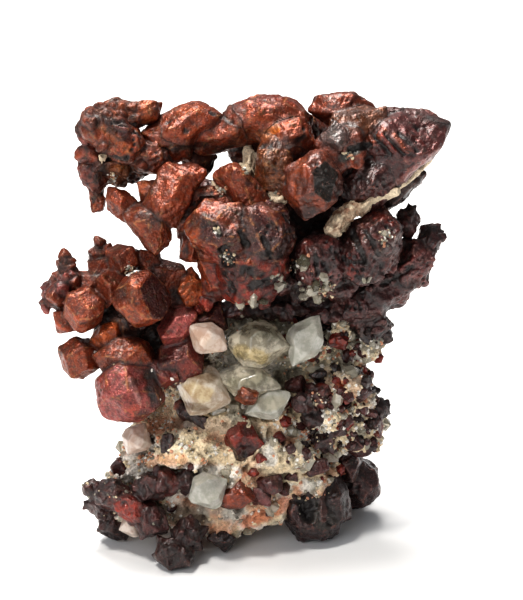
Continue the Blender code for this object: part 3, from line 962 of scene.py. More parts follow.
def tarnish_group():
    """Colour, roughness, metal and fine height of tarnished copper."""
    tree, given, result = new_group(
        "tarnish",
        {"Tint": "Color", "Shade": "Float", "Edge": "Float", "Crease": "Float", "Fleck": "Color",
         "Film": "Color", "Bright": "Color"},
        {"Color": "Color", "Roughness": "Float", "Metallic": "Float", "Height": "Float"})
    where = in_millimetres(tree)
    blotch = patches(tree, where, *BLOTCHES)
    fleck = patches(tree, where, *FLECKS)
    film = patches(tree, where, *FILMS)
    lit = sloped(tree, given["Shade"], SHADE_SPREAD, 1.0)
    base = mixed(tree, 1.0, given["Tint"], lit, "MULTIPLY")
    darker = mixed(tree, 1.0, base, BLOTCH_TINT, "MULTIPLY")
    colour_now = mixed(tree, math_of(tree, "MULTIPLY", blotch, BLOTCH_SHARE), base, darker)
    colour_now = mixed(tree, math_of(tree, "MULTIPLY", film, FILM_SHARE), colour_now, given["Film"])
    colour_now = mixed(tree, math_of(tree, "MULTIPLY", fleck, FLECK_SHARE), colour_now, given["Fleck"])
    worn = math_of(tree, "MULTIPLY", given["Edge"], patches(tree, where, *WEAR))
    colour_now = mixed(tree, worn, colour_now, given["Bright"])
    # Painted shade: the creases go nearly black.
    crease_shade = math_of(tree, "MULTIPLY", given["Crease"], CREASE_SHADE_SHARE, True)
    colour_now = mixed(tree, crease_shade, colour_now, CREASE_SHADE_COLOUR)
    tree.links.new(colour_now, result["Color"])
    dull = sloped(tree, blotch, BLOTCH_ROUGHER, PLAIN_ROUGHNESS)
    duller = math_of(tree, "ADD", dull, math_of(tree, "MULTIPLY", crease_shade, CREASE_ROUGHER), True)
    tree.links.new(duller, result["Roughness"])
    metal = math_of(tree, "SUBTRACT", PLAIN_METAL, math_of(tree, "MULTIPLY", blotch, BLOTCH_HIDES))
    metal = math_of(tree, "SUBTRACT", metal, math_of(tree, "MULTIPLY", crease_shade, CREASE_HIDES), True)
    tree.links.new(metal, result["Metallic"])
    facet = add_node(tree, "ShaderNodeTexVoronoi", Vector=where, Scale=FACETS_PER_MM)
    fine = math_of(tree, "ADD", noise(tree, where, *FINE_RELIEF),
                   math_of(tree, "MULTIPLY", facet.outputs[0], FACET_SHARE))
    tree.links.new(fine, result["Height"])
    return tree


TARNISH = tarnish_group()
print("nodes in the tarnish group:", len(TARNISH.nodes))

# %% [markdown]
# ## The copper finishes
#
# Two finishes share the group. The warm one, with pinkish flecks, is for the upper branches that face
# the light. The dark one is for the wedge, the arm, the trunk and all that is near the ground, where the
# real piece has a thicker, glossier tarnish. That gloss is a weak coat, a little blurred.

# %% Mix the copper finishes
COPPER_BUMP = 0.00016  # metres
COAT_ROUGHNESS = 0.22


def copper_finish(name, fleck, film, bright, bump, coat):
    """Tarnished copper: the group's colour and gloss, with its fine height as bump."""
    finish, tree, shader = new_finish(name)
    tarnish = add_node(tree, "ShaderNodeGroup", {"node_tree": TARNISH}, Tint=field(tree, "tint"),
                       Shade=field(tree, "shade", "Fac"), Edge=field(tree, "edge", "Fac"),
                       Crease=field(tree, "crease", "Fac"), Fleck=(*fleck, 1.0), Film=(*film, 1.0),
                       Bright=(*bright, 1.0)).outputs
    tree.links.new(tarnish["Color"], shader.inputs["Base Color"])
    for socket in ("Roughness", "Metallic"):
        tree.links.new(tarnish[socket], shader.inputs[socket])
    add_bump(tree, shader, tarnish["Height"], bump, COPPER_BUMP)
    shader.inputs["Coat Weight"].default_value = coat
    shader.inputs["Coat Roughness"].default_value = COAT_ROUGHNESS
    return finish


WARM_COPPER = copper_finish("warm_copper", colour("cf8f74"), colour("4b4632"), colour("d08a58"), 1.1, 0.2)
DARK_COPPER = copper_finish("dark_copper", colour("a87870"), colour("3a3c36"), colour("a86a5c"), 1.2, 0.4)
print("finishes:", WARM_COPPER.name, DARK_COPPER.name)

# %% [markdown]
# ## Growing a branch
#
# Every copper branch grows in the same way, from a table of its crystals. They are fused into one
# skin, set back onto their formulas, marked, weathered and given their relief. Last, soft noise bends
# the whole branch a little, so that no face stays as flat as a cut stone. The skin could be sculpted
# by hand instead, but a table is quicker to correct when a crystal turns out too large or too low.

# %% Grow a branch
COPPER_SKINS = []  # points, normals and hollows of every branch, for what grows on them later
BEND_SIZE = 4.0
CREASE_CALM = 0.6  # how much of the relief a crease loses
# Hollows of the relief get painted shade as creases do: from the first height down, full at the second.
HOLLOW_HEIGHTS = (-0.12, -0.5)  # where the relief starts to gather dirt, and where it is full


def grow_copper(name, rows, base_tint, finish, slot, marks=(), blunt=1.0, fillet=0.15, bend=0.45,
                lines=0.12, blend=0.5, nodes=None, **relief):
    """Fuses a branch's crystals, bends them, raises their relief and stores the fields."""
    seed = rows[0]["seed"] % 1000
    rows = [{**row, "power": blunt * row["power"]} for row in rows]
    points, squares = skin([crystal_surface(row) for row in rows], COPPER_VOXEL)
    points = set_back(rows, points)
    tint, shade, crease, edge = read_skin(rows, points, base_tint, blend)
    normals = outward(points, squares)
    tint, raised = draw_marks(marks, points, normals, tint)
    tint = weather(points, normals, tint, seed + 80)
    height = copper_relief(points, seed, **relief) * (1 - CREASE_CALM * crease)
    height = height + fillet * crease + raised
    height += lines * stripes(rows, points)
    points = bent(points + normals * height[:, None], bend, BEND_SIZE, seed + 50)
    points[:, 2] = np.maximum(points[:, 2], 0.0)
    mesh = make_mesh(name, points, squares)
    # The creases and the relief's hollows are stored as the crease field, where the finish paints shade.
    hollow = np.clip(crease + smooth_between(*HOLLOW_HEIGHTS, height), 0, 1)
    for key, values in (("tint", tint), ("shade", shade), ("crease", hollow), ("edge", edge)):
        add_field(mesh, key, values)
    print(name, len(rows), "crystals,", len(squares), "squares")
    COPPER_SKINS.append((points, normals, hollow))
    nodes = ("copper_" + name,) if nodes is None else nodes
    return add_piece(name + "_crystals", mesh, finish, slot, *nodes)

# %% [markdown]
# ## The crown's right end
#
# The crown is one long limb that arches over the specimen. On the right it ends in a big wedge with a
# dark flat underside and growth grooves along its ridge, and a pointed crystal hangs beside it. Cuts
# give the wedge its flat faces, and marks draw the grooves, because they follow no crystal's length.
# The marks paint shade into the grooves and glints onto the ridges between them.

# %% Grow the crown's right end
CROWN_RIGHT = [
    crystal(394, 151, 2, 10.6, 6.6, 8, 33, "blunt", tint=PLUM,
            cuts=(((-0.3, -0.6, 0.75), 5.8, MAROON), ((0.3, 0.6, 0.75), 6.2, PLUM),
                  ((0.64, -0.77, 0), 5.7, PLUM))),
    crystal(371, 182, 4, 7, 4.6, 5.5, 35, tint=MAROON),
    crystal(412, 125, -2, 7.2, 2.4, 4.6, -13, "slab", tint=PLUM),
    crystal(313, 184, 12, 6.9, 5.6, 5.8, 82, "quartz", tint=colour("6e3420"),
            cuts=(((0.62, 0.08, 0.78), 3.9, GREENISH), ((-0.55, 0.0, 0.83), 4.5, RUST),
                  ((0.0, 0.95, 0.3), 5.9, RUST), ((0.1, -0.75, 0.65), 5.3, DARK))),
    crystal(330, 155, 8, 4, 2, 2.5, -55, "slab", tint=RUST),
    crystal(345, 141, 7, 3.6, 3, 3.2, tint=RUST),
    nub(337, 137, 8.5, 2.5, SLATE),
    nub(352, 155, 8, 2.9, RUST),
    crystal(357, 127, 3, 6.4, 3.8, 4.4, 15, tint=OLIVE),
    crystal(342, 109, -2, 6.7, 3.4, 5, 4, tint=RUST),
    crystal(404, 187, -3, 5.4, 1.5, 4, 42, "slab", tint=DARK),
    crystal(362, 168, -8, 9, 6, 6, 30, tint=MAROON),
]
CROWN_MARKS = [
    mark(350, 128, 368, 122, 7, OLIVE, 0.6),
    mark(368, 140, 384, 132, 6, ORANGE, 0.7, 0.2),
    # The grooves: dark strokes sunk in as painted shade, orange and red ones raised between them as
    # painted glints.
    mark(374, 134, 390, 154, 3, DARK, 0.8, -0.6),
    mark(380, 132, 396, 150, 2.5, RED, 0.8, 0.2),
    mark(386, 133, 404, 154, 2.5, DARK, 0.8, -0.6),
    mark(394, 134, 409, 152, 2.5, ORANGE, 0.6, 0.2),
    mark(400, 133, 418, 150, 2.0, DARK, 0.7, -0.4),
    mark(408, 132, 424, 144, 2.0, RED, 0.6, 0.1),
    mark(300, 160, 294, 200, 7, ORANGE, 0.5),
    mark(300, 212, 330, 218, 7, DARK, 0.7),
    # A hollow with painted shade, and green patina beside it.
    mark(352, 150, 368, 146, 5, DARK, 0.9, -0.9),
    mark(344, 158, 358, 152, 5, colour("4f6a62"), 0.75, -0.3),
    mark(346, 196, 376, 172, 13, colour("3a2624"), 0.8),
    mark(380, 168, 440, 134, 5, PLUM, 0.5),
    mark(392, 186, 446, 144, 3, colour("9a6a64"), 0.6, 0.15),
]
grow_copper("crown_right", CROWN_RIGHT, PLUM, DARK_COPPER, "copper_orange", CROWN_MARKS, blunt=0.6,
            fillet=0.5)

# %% [markdown]
# ## The crown's middle
#
# In the middle the crown is orange, and one of its crystals hangs down. All of them are rounder than
# the others and melt into each other, which a lower p and a fuller fillet give.

# %% Grow the crown's middle
CROWN_TOP = [
    crystal(268, 121, -1, 8.7, 5.2, 7, -5, "blunt"),
    crystal(236, 126, 1, 3.8, 3.2, 4, 20, tint=RUST),
    crystal(222, 134, 1, 6.5, 3.3, 4.4, 15),
    crystal(185, 128, 2, 7, 4, 5, 25),
    crystal(165, 143, 3, 5.5, 3.2, 4, -20),
    crystal(276, 167, 8, 6, 3.6, 4, 105, tint=OLIVE),
    nub(290, 149, 6, 2.4),
    crystal(290, 138, 4, 5, 4, 4.5, 10, tint=RUST),
    nub(241, 152, -5, 2.5, DARK),
    nub(196, 161, -1, 3.1, DARK),
    crystal(255, 135, -8, 7, 4.5, 5.4, 5, tint=RUST),
    crystal(300, 138, -8, 6.4, 5, 5.4, 20, tint=RUST),
]
TOP_MARKS = [
    mark(262, 136, 276, 130, 5, colour("b8702c"), 0.6),
    mark(240, 100, 290, 98, 9, RED, 0.5),
    mark(236, 130, 258, 138, 8, colour("a04a1c"), 0.6),
    mark(278, 155, 274, 185, 6, OLIVE, 0.5),
    mark(176, 112, 200, 110, 5, ORANGE, 0.6),
    # Dark strokes, sunk a little, are painted shade in the grooves they make.
    mark(160, 150, 205, 146, 4, DARK, 0.7, -0.2),
    mark(210, 112, 232, 122, 3, DARK, 0.7, -0.3),
    mark(218, 150, 300, 142, 4, DARK, 0.6, -0.2),
]
grow_copper("crown_top", CROWN_TOP, RUST, WARM_COPPER, "copper_orange", TOP_MARKS, blunt=0.45,
            fillet=0.7, bend=0.7, lines=0.2, blend=1.0, crests=0.14, pits=0.25)

# %% [markdown]
# ## The crown's left end
#
# On the left the crown thins out to a slab with small knobs and a drop under it. Strings of tiny
# crystals run along its rims, and more of them sit at chance places on the larger crystals.

# %% Grow the crown's left end
SLAB_CRYSTALS = [
    crystal(113, 136, 6, 6.3, 3.7, 4, -35, "slab", tint=RUST),
    nub(95, 125, 6, 3.0, RUST),
    crystal(140, 112, 3, 3.4, 2, 2.5, 5, "slab", tint=ORANGE),
    nub(117, 112, 4, 2.4, ORANGE),
    crystal(150, 155, 4, 5, 3.2, 4, -20, tint=RUST),
    nub(115, 165, 3, 3.4, OLIVE),
    nub(135, 166, 1, 3.0, MAROON),
]
CROWN_LEFT = [
    *SLAB_CRYSTALS,
    nub(97, 165, 4, 2.6, SLATE),
    nub(88, 152, 5, 2.0, ORANGE),
    nub(90, 172, 5, 1.9, RUST),
    nub(97, 180, 5, 1.9, RUST),
    crystal(97, 200, 5, 3.5, 1.9, 1.9, 95, "lump", tint=RUST),
    *twig(84, 140, 92, 182, 5, 1.0, 12, CRIMSON),
    *twig(108, 118, 120, 132, 9, 0.9, 6, PLUM, 5),
]
CROWN_LEFT += druse(SLAB_CRYSTALS, 60, 1.0, RUST, 10)
LEFT_CROWN_MARKS = [
    mark(96, 112, 118, 116, 5, ORANGE, 0.6),
    mark(128, 108, 150, 112, 6, ORANGE, 0.5),
    mark(104, 128, 128, 150, 5, colour("a05a30"), 0.6),
    mark(120, 168, 134, 172, 5, colour("8a5a34"), 0.6),
    # Dark strokes, sunk in, are painted shade in the grooves they make.
    mark(112, 122, 140, 126, 3, DARK, 0.8, -0.4),
    mark(138, 132, 150, 142, 4, DARK, 0.8, -0.3),
    mark(100, 158, 128, 160, 4, DARK, 0.8, -0.4),
]
grow_copper("crown_left", CROWN_LEFT, RUST, WARM_COPPER, "copper_orange", LEFT_CROWN_MARKS, blunt=0.6,
            fillet=0.3, hills=0.35, crests=0.35, pits=0.5, grit=0.25)

# %% [markdown]
# ## The fan
#
# Under the crown's left limb long crystals spread like a fan, each with its own roll in the picture.

# %% Grow the fan
FAN = [
    crystal(172, 195, 9, 7.5, 4.2, 4, 55, tint=RUST),
    crystal(148, 228, 10, 5.4, 3.4, 3.6, -60, "lump", tint=RUST),
    crystal(122, 205, 8, 3.8, 2.4, 2.5, -45, tint=RUST),
    nub(150, 193, 7, 2.5, ORANGE),
    crystal(188, 215, 7, 4.2, 1.9, 3, 65, tint=RUST),
    crystal(207, 195, 7, 3.6, 1.8, 3, 5, tint=RUST),
    crystal(227, 205, 8, 3.6, 1.5, 2.6, -40, tint=RUST),
    crystal(243, 189, 9, 6.2, 3.2, 3.8, -48, "lump", tint=RUST),
    crystal(194, 243, 8, 4, 2.8, 3.2, 75, tint=RUST),
]
grow_copper("fan", FAN, RUST, WARM_COPPER, "copper_orange", pits=0.3)

# %% [markdown]
# ## The heart
#
# In the middle the crystals crowd into a large rounded heart. On the real piece some of its faces are
# hollow, so marks with a depth sink into it, and the dark ones paint shade into these hollows. Its
# lower crystals are red, and rough with small ones.

# %% Grow the heart
HEART_LOW = [
    crystal(250, 262, 12, 6, 6.5, 5.5, 10, "blunt", tint=RED),
    crystal(244, 287, 11, 3.8, 3.4, 4, 10, tint=RED),
    crystal(266, 276, 10, 6, 4, 4.5, 70, tint=RED),
]
HEART = [
    crystal(222, 232, 13, 6, 5.5, 5, 0, "blunt", tint=RUST),
    crystal(262, 232, 12, 6.2, 5.8, 5.4, 0, "blunt", tint=MAROON),
    *HEART_LOW,
    crystal(213, 266, 9, 5.6, 2.6, 3.2, 100, tint=RUST),
    crystal(216, 290, 8, 3.0, 2.2, 2.6, 20, tint=RED),
    nub(206, 300, 8, 1.7, RED),
    nub(199, 308, 7, 1.5, RED),
]
HEART += druse(HEART_LOW, 44, 1.0, RED, 15)
HEART_MARKS = [
    mark(208, 226, 232, 248, 18, colour("3f2a2c"), 0.75),
    mark(248, 232, 270, 250, 16, colour("473534"), 0.7),
    mark(222, 210, 250, 214, 8, colour("5c3b32"), 0.6),
    # Dark marks sunk in: painted shade in the hollow faces.
    mark(216, 228, 220, 234, 5, DARK, 0.9, -0.8),
    mark(226, 252, 228, 262, 7, DARK, 0.9, -1.2),
    mark(240, 232, 246, 244, 4, DARK, 0.9, -0.7),
    mark(262, 238, 270, 256, 4, DARK, 0.8, -0.7),
    mark(198, 214, 194, 236, 5, ORANGE, 0.7, 0.2),
    mark(262, 206, 282, 222, 5, RUST, 0.6, 0.1),
    # Three more sunk dark marks: painted shade in the lower hollows.
    mark(238, 268, 262, 274, 6, DARK, 0.8, -0.5),
    mark(252, 286, 276, 280, 6, DARK, 0.8, -0.5),
    mark(224, 272, 234, 290, 4, DARK, 0.8, -0.5),
    mark(210, 250, 218, 292, 6, RED, 0.6),
    mark(240, 254, 252, 264, 5, ORANGE, 0.5),
]
grow_copper("heart", HEART, MAROON, WARM_COPPER, "copper_orange", HEART_MARKS, hills=0.35,
            crests=0.2, grit=0.2)

# %% [markdown]
# ## The dark gap
#
# Between the copper and the rock there is a dark gap, closed by crystals deep in the shade. They have
# no solid of their own, because little more than their tips shows.

# %% Close the gap above the rock
HOLLOW = [  # dark crystals that close the gap between the copper and the rock
    crystal(287, 300, 1, 6, 3.4, 4, 10, tint=DARK),
    crystal(318, 306, 0, 6, 4, 5, -10, tint=DARK),
    crystal(340, 300, 1, 4.5, 4, 4, tint=MAROON),
    crystal(262, 308, 2, 4.5, 2.8, 4, tint=DARK),
    crystal(238, 308, 5, 2.6, 2.2, 2.8, tint=MAROON),
    crystal(305, 285, 5, 4, 3, 3, 40, tint=MAROON),
    *twig(268, 282, 335, 292, 7, 1.3, 12, MAROON, 6),
    *twig(225, 305, 330, 316, 5, 1.2, 16, MAROON, 4),
]
grow_copper("hollow", HOLLOW, MAROON, DARK_COPPER, "copper_dark", nodes=())

# %% [markdown]
# ## The right arm
#
# To the right runs a rough dark limb with one big blunt crystal. It has the strongest relief of all
# branches, and small crystals cover the large ones.

# %% Grow the right arm
ARM_CRYSTALS = [
    crystal(370, 247, 7, 7.8, 5.3, 6, 58, "blunt"),
    crystal(320, 262, 9, 5, 5.2, 5, 0, "blunt", tint=PLUM),
    crystal(408, 222, -2, 3.2, 2.2, 2.4, 80),
    crystal(428, 242, -2, 3.6, 2.4, 3, 65),
    crystal(408, 265, 0, 6.5, 4.6, 4.5, 45, tint=PLUM),
    crystal(385, 290, 0, 6.5, 4, 4.5, 30),
    crystal(360, 305, 0, 6, 4.5, 5, 20),
    nub(371, 324, 0, 3.4, SLATE),
]
RIGHT_ARM = [
    *ARM_CRYSTALS,
    nub(338, 285, 5, 3.6),
    crystal(352, 262, -8, 9, 7, 7, 40),
]
RIGHT_ARM += druse(ARM_CRYSTALS, 60, 1.1, PLUM, 11)
ARM_MARKS = [
    mark(345, 250, 352, 275, 6, RED, 0.6, -0.2),
    mark(362, 214, 392, 222, 5, RED, 0.5),
    mark(378, 258, 398, 236, 4, colour("8c7c78"), 0.6, 0.1),
    # The dark strokes, sunk in, are painted shade in the grooves they make.
    mark(352, 232, 366, 262, 4, DARK, 0.8, -0.5),
    mark(366, 230, 380, 256, 3, DARK, 0.8, -0.4),
    mark(308, 246, 330, 244, 6, RED, 0.5),
    mark(316, 256, 318, 276, 3, DARK, 0.8, -0.5),
    mark(392, 272, 424, 250, 3, CRIMSON, 0.6, 0.2),
    mark(384, 284, 412, 268, 3, DARK, 0.8, -0.4),
]
grow_copper("right_arm", RIGHT_ARM, MAROON, DARK_COPPER, "copper_dark", ARM_MARKS, hills=0.3,
            crests=0.35, pits=0.6, grit=0.32)

# %% [markdown]
# ## The left cluster
#
# The bunch on the left has the best single crystals, with clean ridges between their faces, so its
# relief is low and its tints hardly run into each other. Two bodies inside hold it together, and small
# crystals cover them, because plain bodies look like boxes from behind. Bodies and small crystals are
# dark, as painted shade in the gaps between the crystals in front.

# %% Grow the left cluster
# Their dark tint is painted shade in the gaps of the cluster.
LEFT_INNER = [  # the bodies inside the cluster, which show from behind
    crystal(130, 320, 2, 8, 7, 5.5, 20, "dozen", tint=DARK),
    crystal(165, 338, -1, 8, 8, 6, 0, "dozen", tint=DARK),
]
LEFT_CLUSTER = [
    crystal(142, 299, 12, 4.9, 5.2, 4.6, 90, "blunt", tint=RUST,
            cuts=(((0.75, 0.1, 0.65), 3.1, MAROON),)),
    crystal(85, 309, 9, 3.7, 4.1, 3.6, 0, "blunt"),
    crystal(123, 258, 5, 3.4, 3, 3),
    nub(111, 286, 7, 3.2),
    nub(168, 277, 5, 3.4),
    nub(175, 292, 4, 3.4),
    nub(193, 291, 7, 3.3, ORANGE),
    crystal(79, 358, 8, 3.8, 4.1, 3.8),
    crystal(128, 358, 9, 5.8, 4.2, 4.2),
    crystal(107, 336, 8, 3.4, 2.2, 2.6, 35, tint=ORANGE),
    crystal(129, 391, 11, 6.8, 5.6, 5.5, 0, "blunt", tint=CRIMSON),
    crystal(178, 325, 8, 4.6, 3, 3.4, 45, tint=CRIMSON),
    crystal(180, 362, 8, 4.8, 4.8, 4.4, tint=colour("6a2c26")),
    nub(160, 375, 10, 3.2, colour("742a22")),
    nub(213, 316, 6, 2.7, MAROON),
    nub(148, 262, 4, 2.5),
    nub(62, 294, 5, 3.2),
    nub(56, 301, 5, 1.8),
    nub(71, 281, 5, 2.6),
    nub(67, 321, 6, 2.6),
    nub(90, 285, 4, 3.0),
    nub(101, 268, 4, 2.4),
    nub(98, 254, 3, 1.8),
    nub(67, 268, 5, 1.7),
    *LEFT_INNER,
    *twig(66, 286, 66, 256, 5, 0.9, 10),
    *twig(60, 276, 72, 270, 5, 0.8, 5),
    *twig(100, 264, 97, 243, 3, 0.9, 8),
    *twig(92, 258, 110, 248, 3, 0.8, 6),
    *twig(50, 284, 48, 308, 5, 1.2, 8, CRIMSON),
    *twig(55, 290, 72, 278, 7, 1.3, 8, CRIMSON),
]
# Small crystals on the inner bodies, maroon and dark as painted shade in the gaps.
LEFT_CLUSTER += druse(LEFT_INNER, 16, 2.6, MAROON, 18, 0.5)
LEFT_CLUSTER += druse(LEFT_INNER, 50, 1.2, DARK, 16)
LEFT_MARKS = [
    # A raised pale pink ridge, lightened as painted sheen, and the crystal's right side darkened as
    # painted shade.
    mark(132, 378, 140, 404, 3, colour("c08a84"), 0.6, 0.2),
    mark(150, 376, 158, 404, 8, DARK, 0.75, -0.3),
    mark(120, 346, 150, 350, 4, ORANGE, 0.5),
    mark(134, 282, 130, 312, 6, ORANGE, 0.5),
]
grow_copper("left_cluster", LEFT_CLUSTER, RUST, WARM_COPPER, "copper_orange", LEFT_MARKS, bend=0.25,
            fillet=0.0, blend=0.25, hills=0.14, plates=0.22, crests=0.08, pits=0.18, grit=0.08)

# %% [markdown]
# ## The trunk
#
# An inner trunk behind the heart carries the crown. The photograph doesn't show it, so it is made like
# the other branches, with small crystals of two sizes all over it.

# %% Grow the trunk
TRUNK = [
    crystal(262, 190, -9, 9, 5, 5.5, 70),
    crystal(308, 200, -9, 10, 6, 6, 35),
    crystal(262, 235, -7, 9, 7.5, 7, 80),
    crystal(225, 200, -6, 8, 3, 4, -25),
    crystal(300, 262, -10, 9, 8, 7, 10),
    crystal(258, 315, -11, 7.5, 5, 6, 15),
    crystal(284, 216, -14, 5.2, 4.6, 4.6, 30),
    crystal(246, 222, -12, 4.6, 4.2, 4.4, 10),
    crystal(322, 238, -15, 6, 5, 5, 60),
    crystal(278, 288, -16, 5, 4.2, 4.2, 25),
]
TRUNK += druse(TRUNK, 30, 2.4, MAROON, 19, 0.5)
TRUNK += druse(TRUNK, 70, 1.1, RUST, 17)
grow_copper("trunk", TRUNK, MAROON, DARK_COPPER, "copper_dark", grit=0.25)

# %% [markdown]
# ## The right edge of the rock
#
# Near the ground the copper is darker, nearly purple. Small crystals crowd the right edge of the rock.
# In the solid model one crystal stands for several of them, so here each one shrinks and the space
# between them fills up with smaller ones.

# %% Crowd the right edge
EDGE_SHRINK = 0.7
EDGE_CROWD = [
    nub(370, 425, -2, 3.5),
    nub(378, 411, -3, 3.0),
    nub(362, 445, -2, 3.4),
    nub(345, 415, 2, 3.0),
    nub(330, 402, 4, 3.0),
    nub(318, 394, 6, 3.2, RED),
    nub(303, 404, 7, 3.0),
    nub(312, 418, 6, 3.0),
    nub(336, 428, 4, 3.2),
    nub(352, 440, 1, 3.4),
    nub(325, 440, 4, 3.0),
]
RIGHT_EDGE = [{**row, "half": EDGE_SHRINK * row["half"]} for row in EDGE_CROWD]
RIGHT_EDGE += druse(RIGHT_EDGE, 80, 1.0, MAROON, 12)
grow_copper("right_edge", RIGHT_EDGE, MAROON, DARK_COPPER, "copper_dark", pits=0.3, hills=0.12,
            plates=0.2, crests=0.1, bend=0.2, fillet=0.0)

# %% [markdown]
# ## The feet and the base
#
# Larger crystals make the feet that the specimen stands on. They are cut off at the ground, as a
# crystal is that grew or was ground against something flat. The large one on the right is hollow on
# its front. Small ones gather on the left of the base, and the hindmost foot is hidden in the picture.

# %% Grow the feet and the base
FOOT_RIGHT = [
    crystal(312, 508, 0.6, 5.9, 6.2, 5.8, 0, "blunt", cuts=(((0.45, 0.1, 0.87), 4.2, GREENISH),)),
    crystal(330, 498, -0.6, 3.8, 5.4, 4.6, 20),
    crystal(299, 494, 2.5, 3.2, 3.2, 3.4),
    crystal(357, 482, -11, 4.4, 4.9, 4.6, 0, "blunt"),
    crystal(343, 460, -6, 3, 4.6, 4, 20),
    crystal(350, 492, -18.5, 4, 4.4, 4.6),
]
FOOT_LEFT = [
    crystal(174, 554, 12.2, 4, 3, 3.6),
    crystal(187, 536, 10, 3, 3, 3.2),
]
FOOT_LEFT += druse(FOOT_LEFT, 24, 1.1, MAROON, 14)
BASE_LEFT = [
    crystal(116, 524, 1, 3.4, 3.2, 3.2, tint=DARK),
    nub(102, 505, 4, 2.8),
    nub(97, 491, 4, 2.1),
    crystal(113, 496, 7, 3.4, 3, 3),
    crystal(135, 508, 9, 5, 2.6, 3.2, -30, tint=RED),
    nub(152, 521, 10, 2.8),
    nub(150, 488, 9, 2.7),
    nub(167, 483, 9, 2.6, colour("6a2a22")),
    nub(187, 481, 9, 2.2),
]
BASE_LEFT += druse(BASE_LEFT, 50, 1.2, MAROON, 13)
FOOT_BACK = [
    crystal(205, 470, -21, 4.6, 4.6, 4.6, 0, "blunt"),
    crystal(222, 448, -18, 5, 4.5, 5),
]
FOOT_MARKS = [
    # The hollow on the big foot's front is painted nearly black as shade, and the ridge beside it is
    # painted lighter where the light falls on it.
    mark(303, 495, 309, 517, 8, colour("15100f"), 0.9, -1.4),
    mark(321, 490, 323, 520, 4, colour("6a4038"), 0.7, 0.5),
    mark(294, 488, 290, 512, 4, colour("5a3834"), 0.6, 0.3),
    mark(350, 470, 364, 492, 5, colour("5c3a36"), 0.5),
]
grow_copper("foot_right", FOOT_RIGHT, colour("35201f"), DARK_COPPER, "copper_dark", FOOT_MARKS,
            hills=0.2, crests=0.2)
grow_copper("foot_left", FOOT_LEFT, DARK, DARK_COPPER, "copper_dark")
grow_copper("base_left", BASE_LEFT, MAROON, DARK_COPPER, "copper_dark", pits=0.3)
grow_copper("foot_back", FOOT_BACK, MAROON, DARK_COPPER, "copper_dark")

# %% [markdown]
# ## Quartz
#
# The quartz crystals are six-sided prisms with a point at each end, half sunk in the rock. They are
# milky: light goes in, but cloud inside throws part of it back. So the shader lets part of the light
# through and paints the rest, with quartz's own index of refraction, and its gloss changes a little
# from place to place.

# %% Mix the quartz finishes
QUARTZ_IOR = 1.54
QUARTZ_BUMP = 0.0001  # metres
VEILS = (0.5, 5.0, 0.68, 0.40, 0.60)
DULLNESS = (0.8, 3.0, 0.55, 0.3, 0.7, 0.03, 0.22)


def quartz_finish(name, tint, cloud, clear, bump):
    """Milky quartz: stored tint, cloudy, clear in part, with faint growth lines as bump."""
    finish, tree, shader = new_finish(name)
    where = in_millimetres(tree)
    veil = patches(tree, where, *VEILS)
    shader.inputs["Transmission Weight"].default_value = clear
    shader.inputs["IOR"].default_value = QUARTZ_IOR
    base = mixed(tree, veil, (*tint, 1.0), (*cloud, 1.0))
    base = mixed(tree, 1.0, base, field(tree, "tint"), "MULTIPLY")
    tree.links.new(base, shader.inputs["Base Color"])
    tree.links.new(patches(tree, where, *DULLNESS), shader.inputs["Roughness"])
    add_bump(tree, shader, noise(tree, where, 1.8, 4.0, 0.5), bump, QUARTZ_BUMP)
    return finish


MILKY = quartz_finish("milky_quartz", colour("ceb4a4"), colour("e8d8ca"), 0.30, 0.35)
WARM = quartz_finish("warm_quartz", colour("cbb6a0"), colour("f0e4d2"), 0.45, 0.35)
GREY = quartz_finish("grey_quartz", colour("a8a08e"), colour("ece2cc"), 0.5, 0.3)
CLEAR = quartz_finish("clear_quartz", colour("cfcdc0"), colour("efece0"), 0.6, 0.4)
print("quartz finishes:", MILKY.name, WARM.name, GREY.name, CLEAR.name)

# %% [markdown]
# ## Quartz crystals
#
# The faces of the crystals are nearly flat, with a faint swell, and their formula has a high p, so that
# the edges stay crisp. The larger ones were broken in front, and each break is a flat cut. Marks give
# them their cloudy and their greyer parts.

# %% Grow the quartz
QUARTZ_VOXEL = 0.2
SWELL = 0.09
SWELL_SIZE = 1.8


def quartz(px, py, near, length, width, depth, roll, *cuts):
    """A quartz crystal at a pixel; a cut is its direction, as right, up and near, and its distance."""
    cuts = [(cut[:3], cut[3], None) for cut in cuts]
    return crystal(px, py, near, length, width, depth, roll, "quartz", cuts)


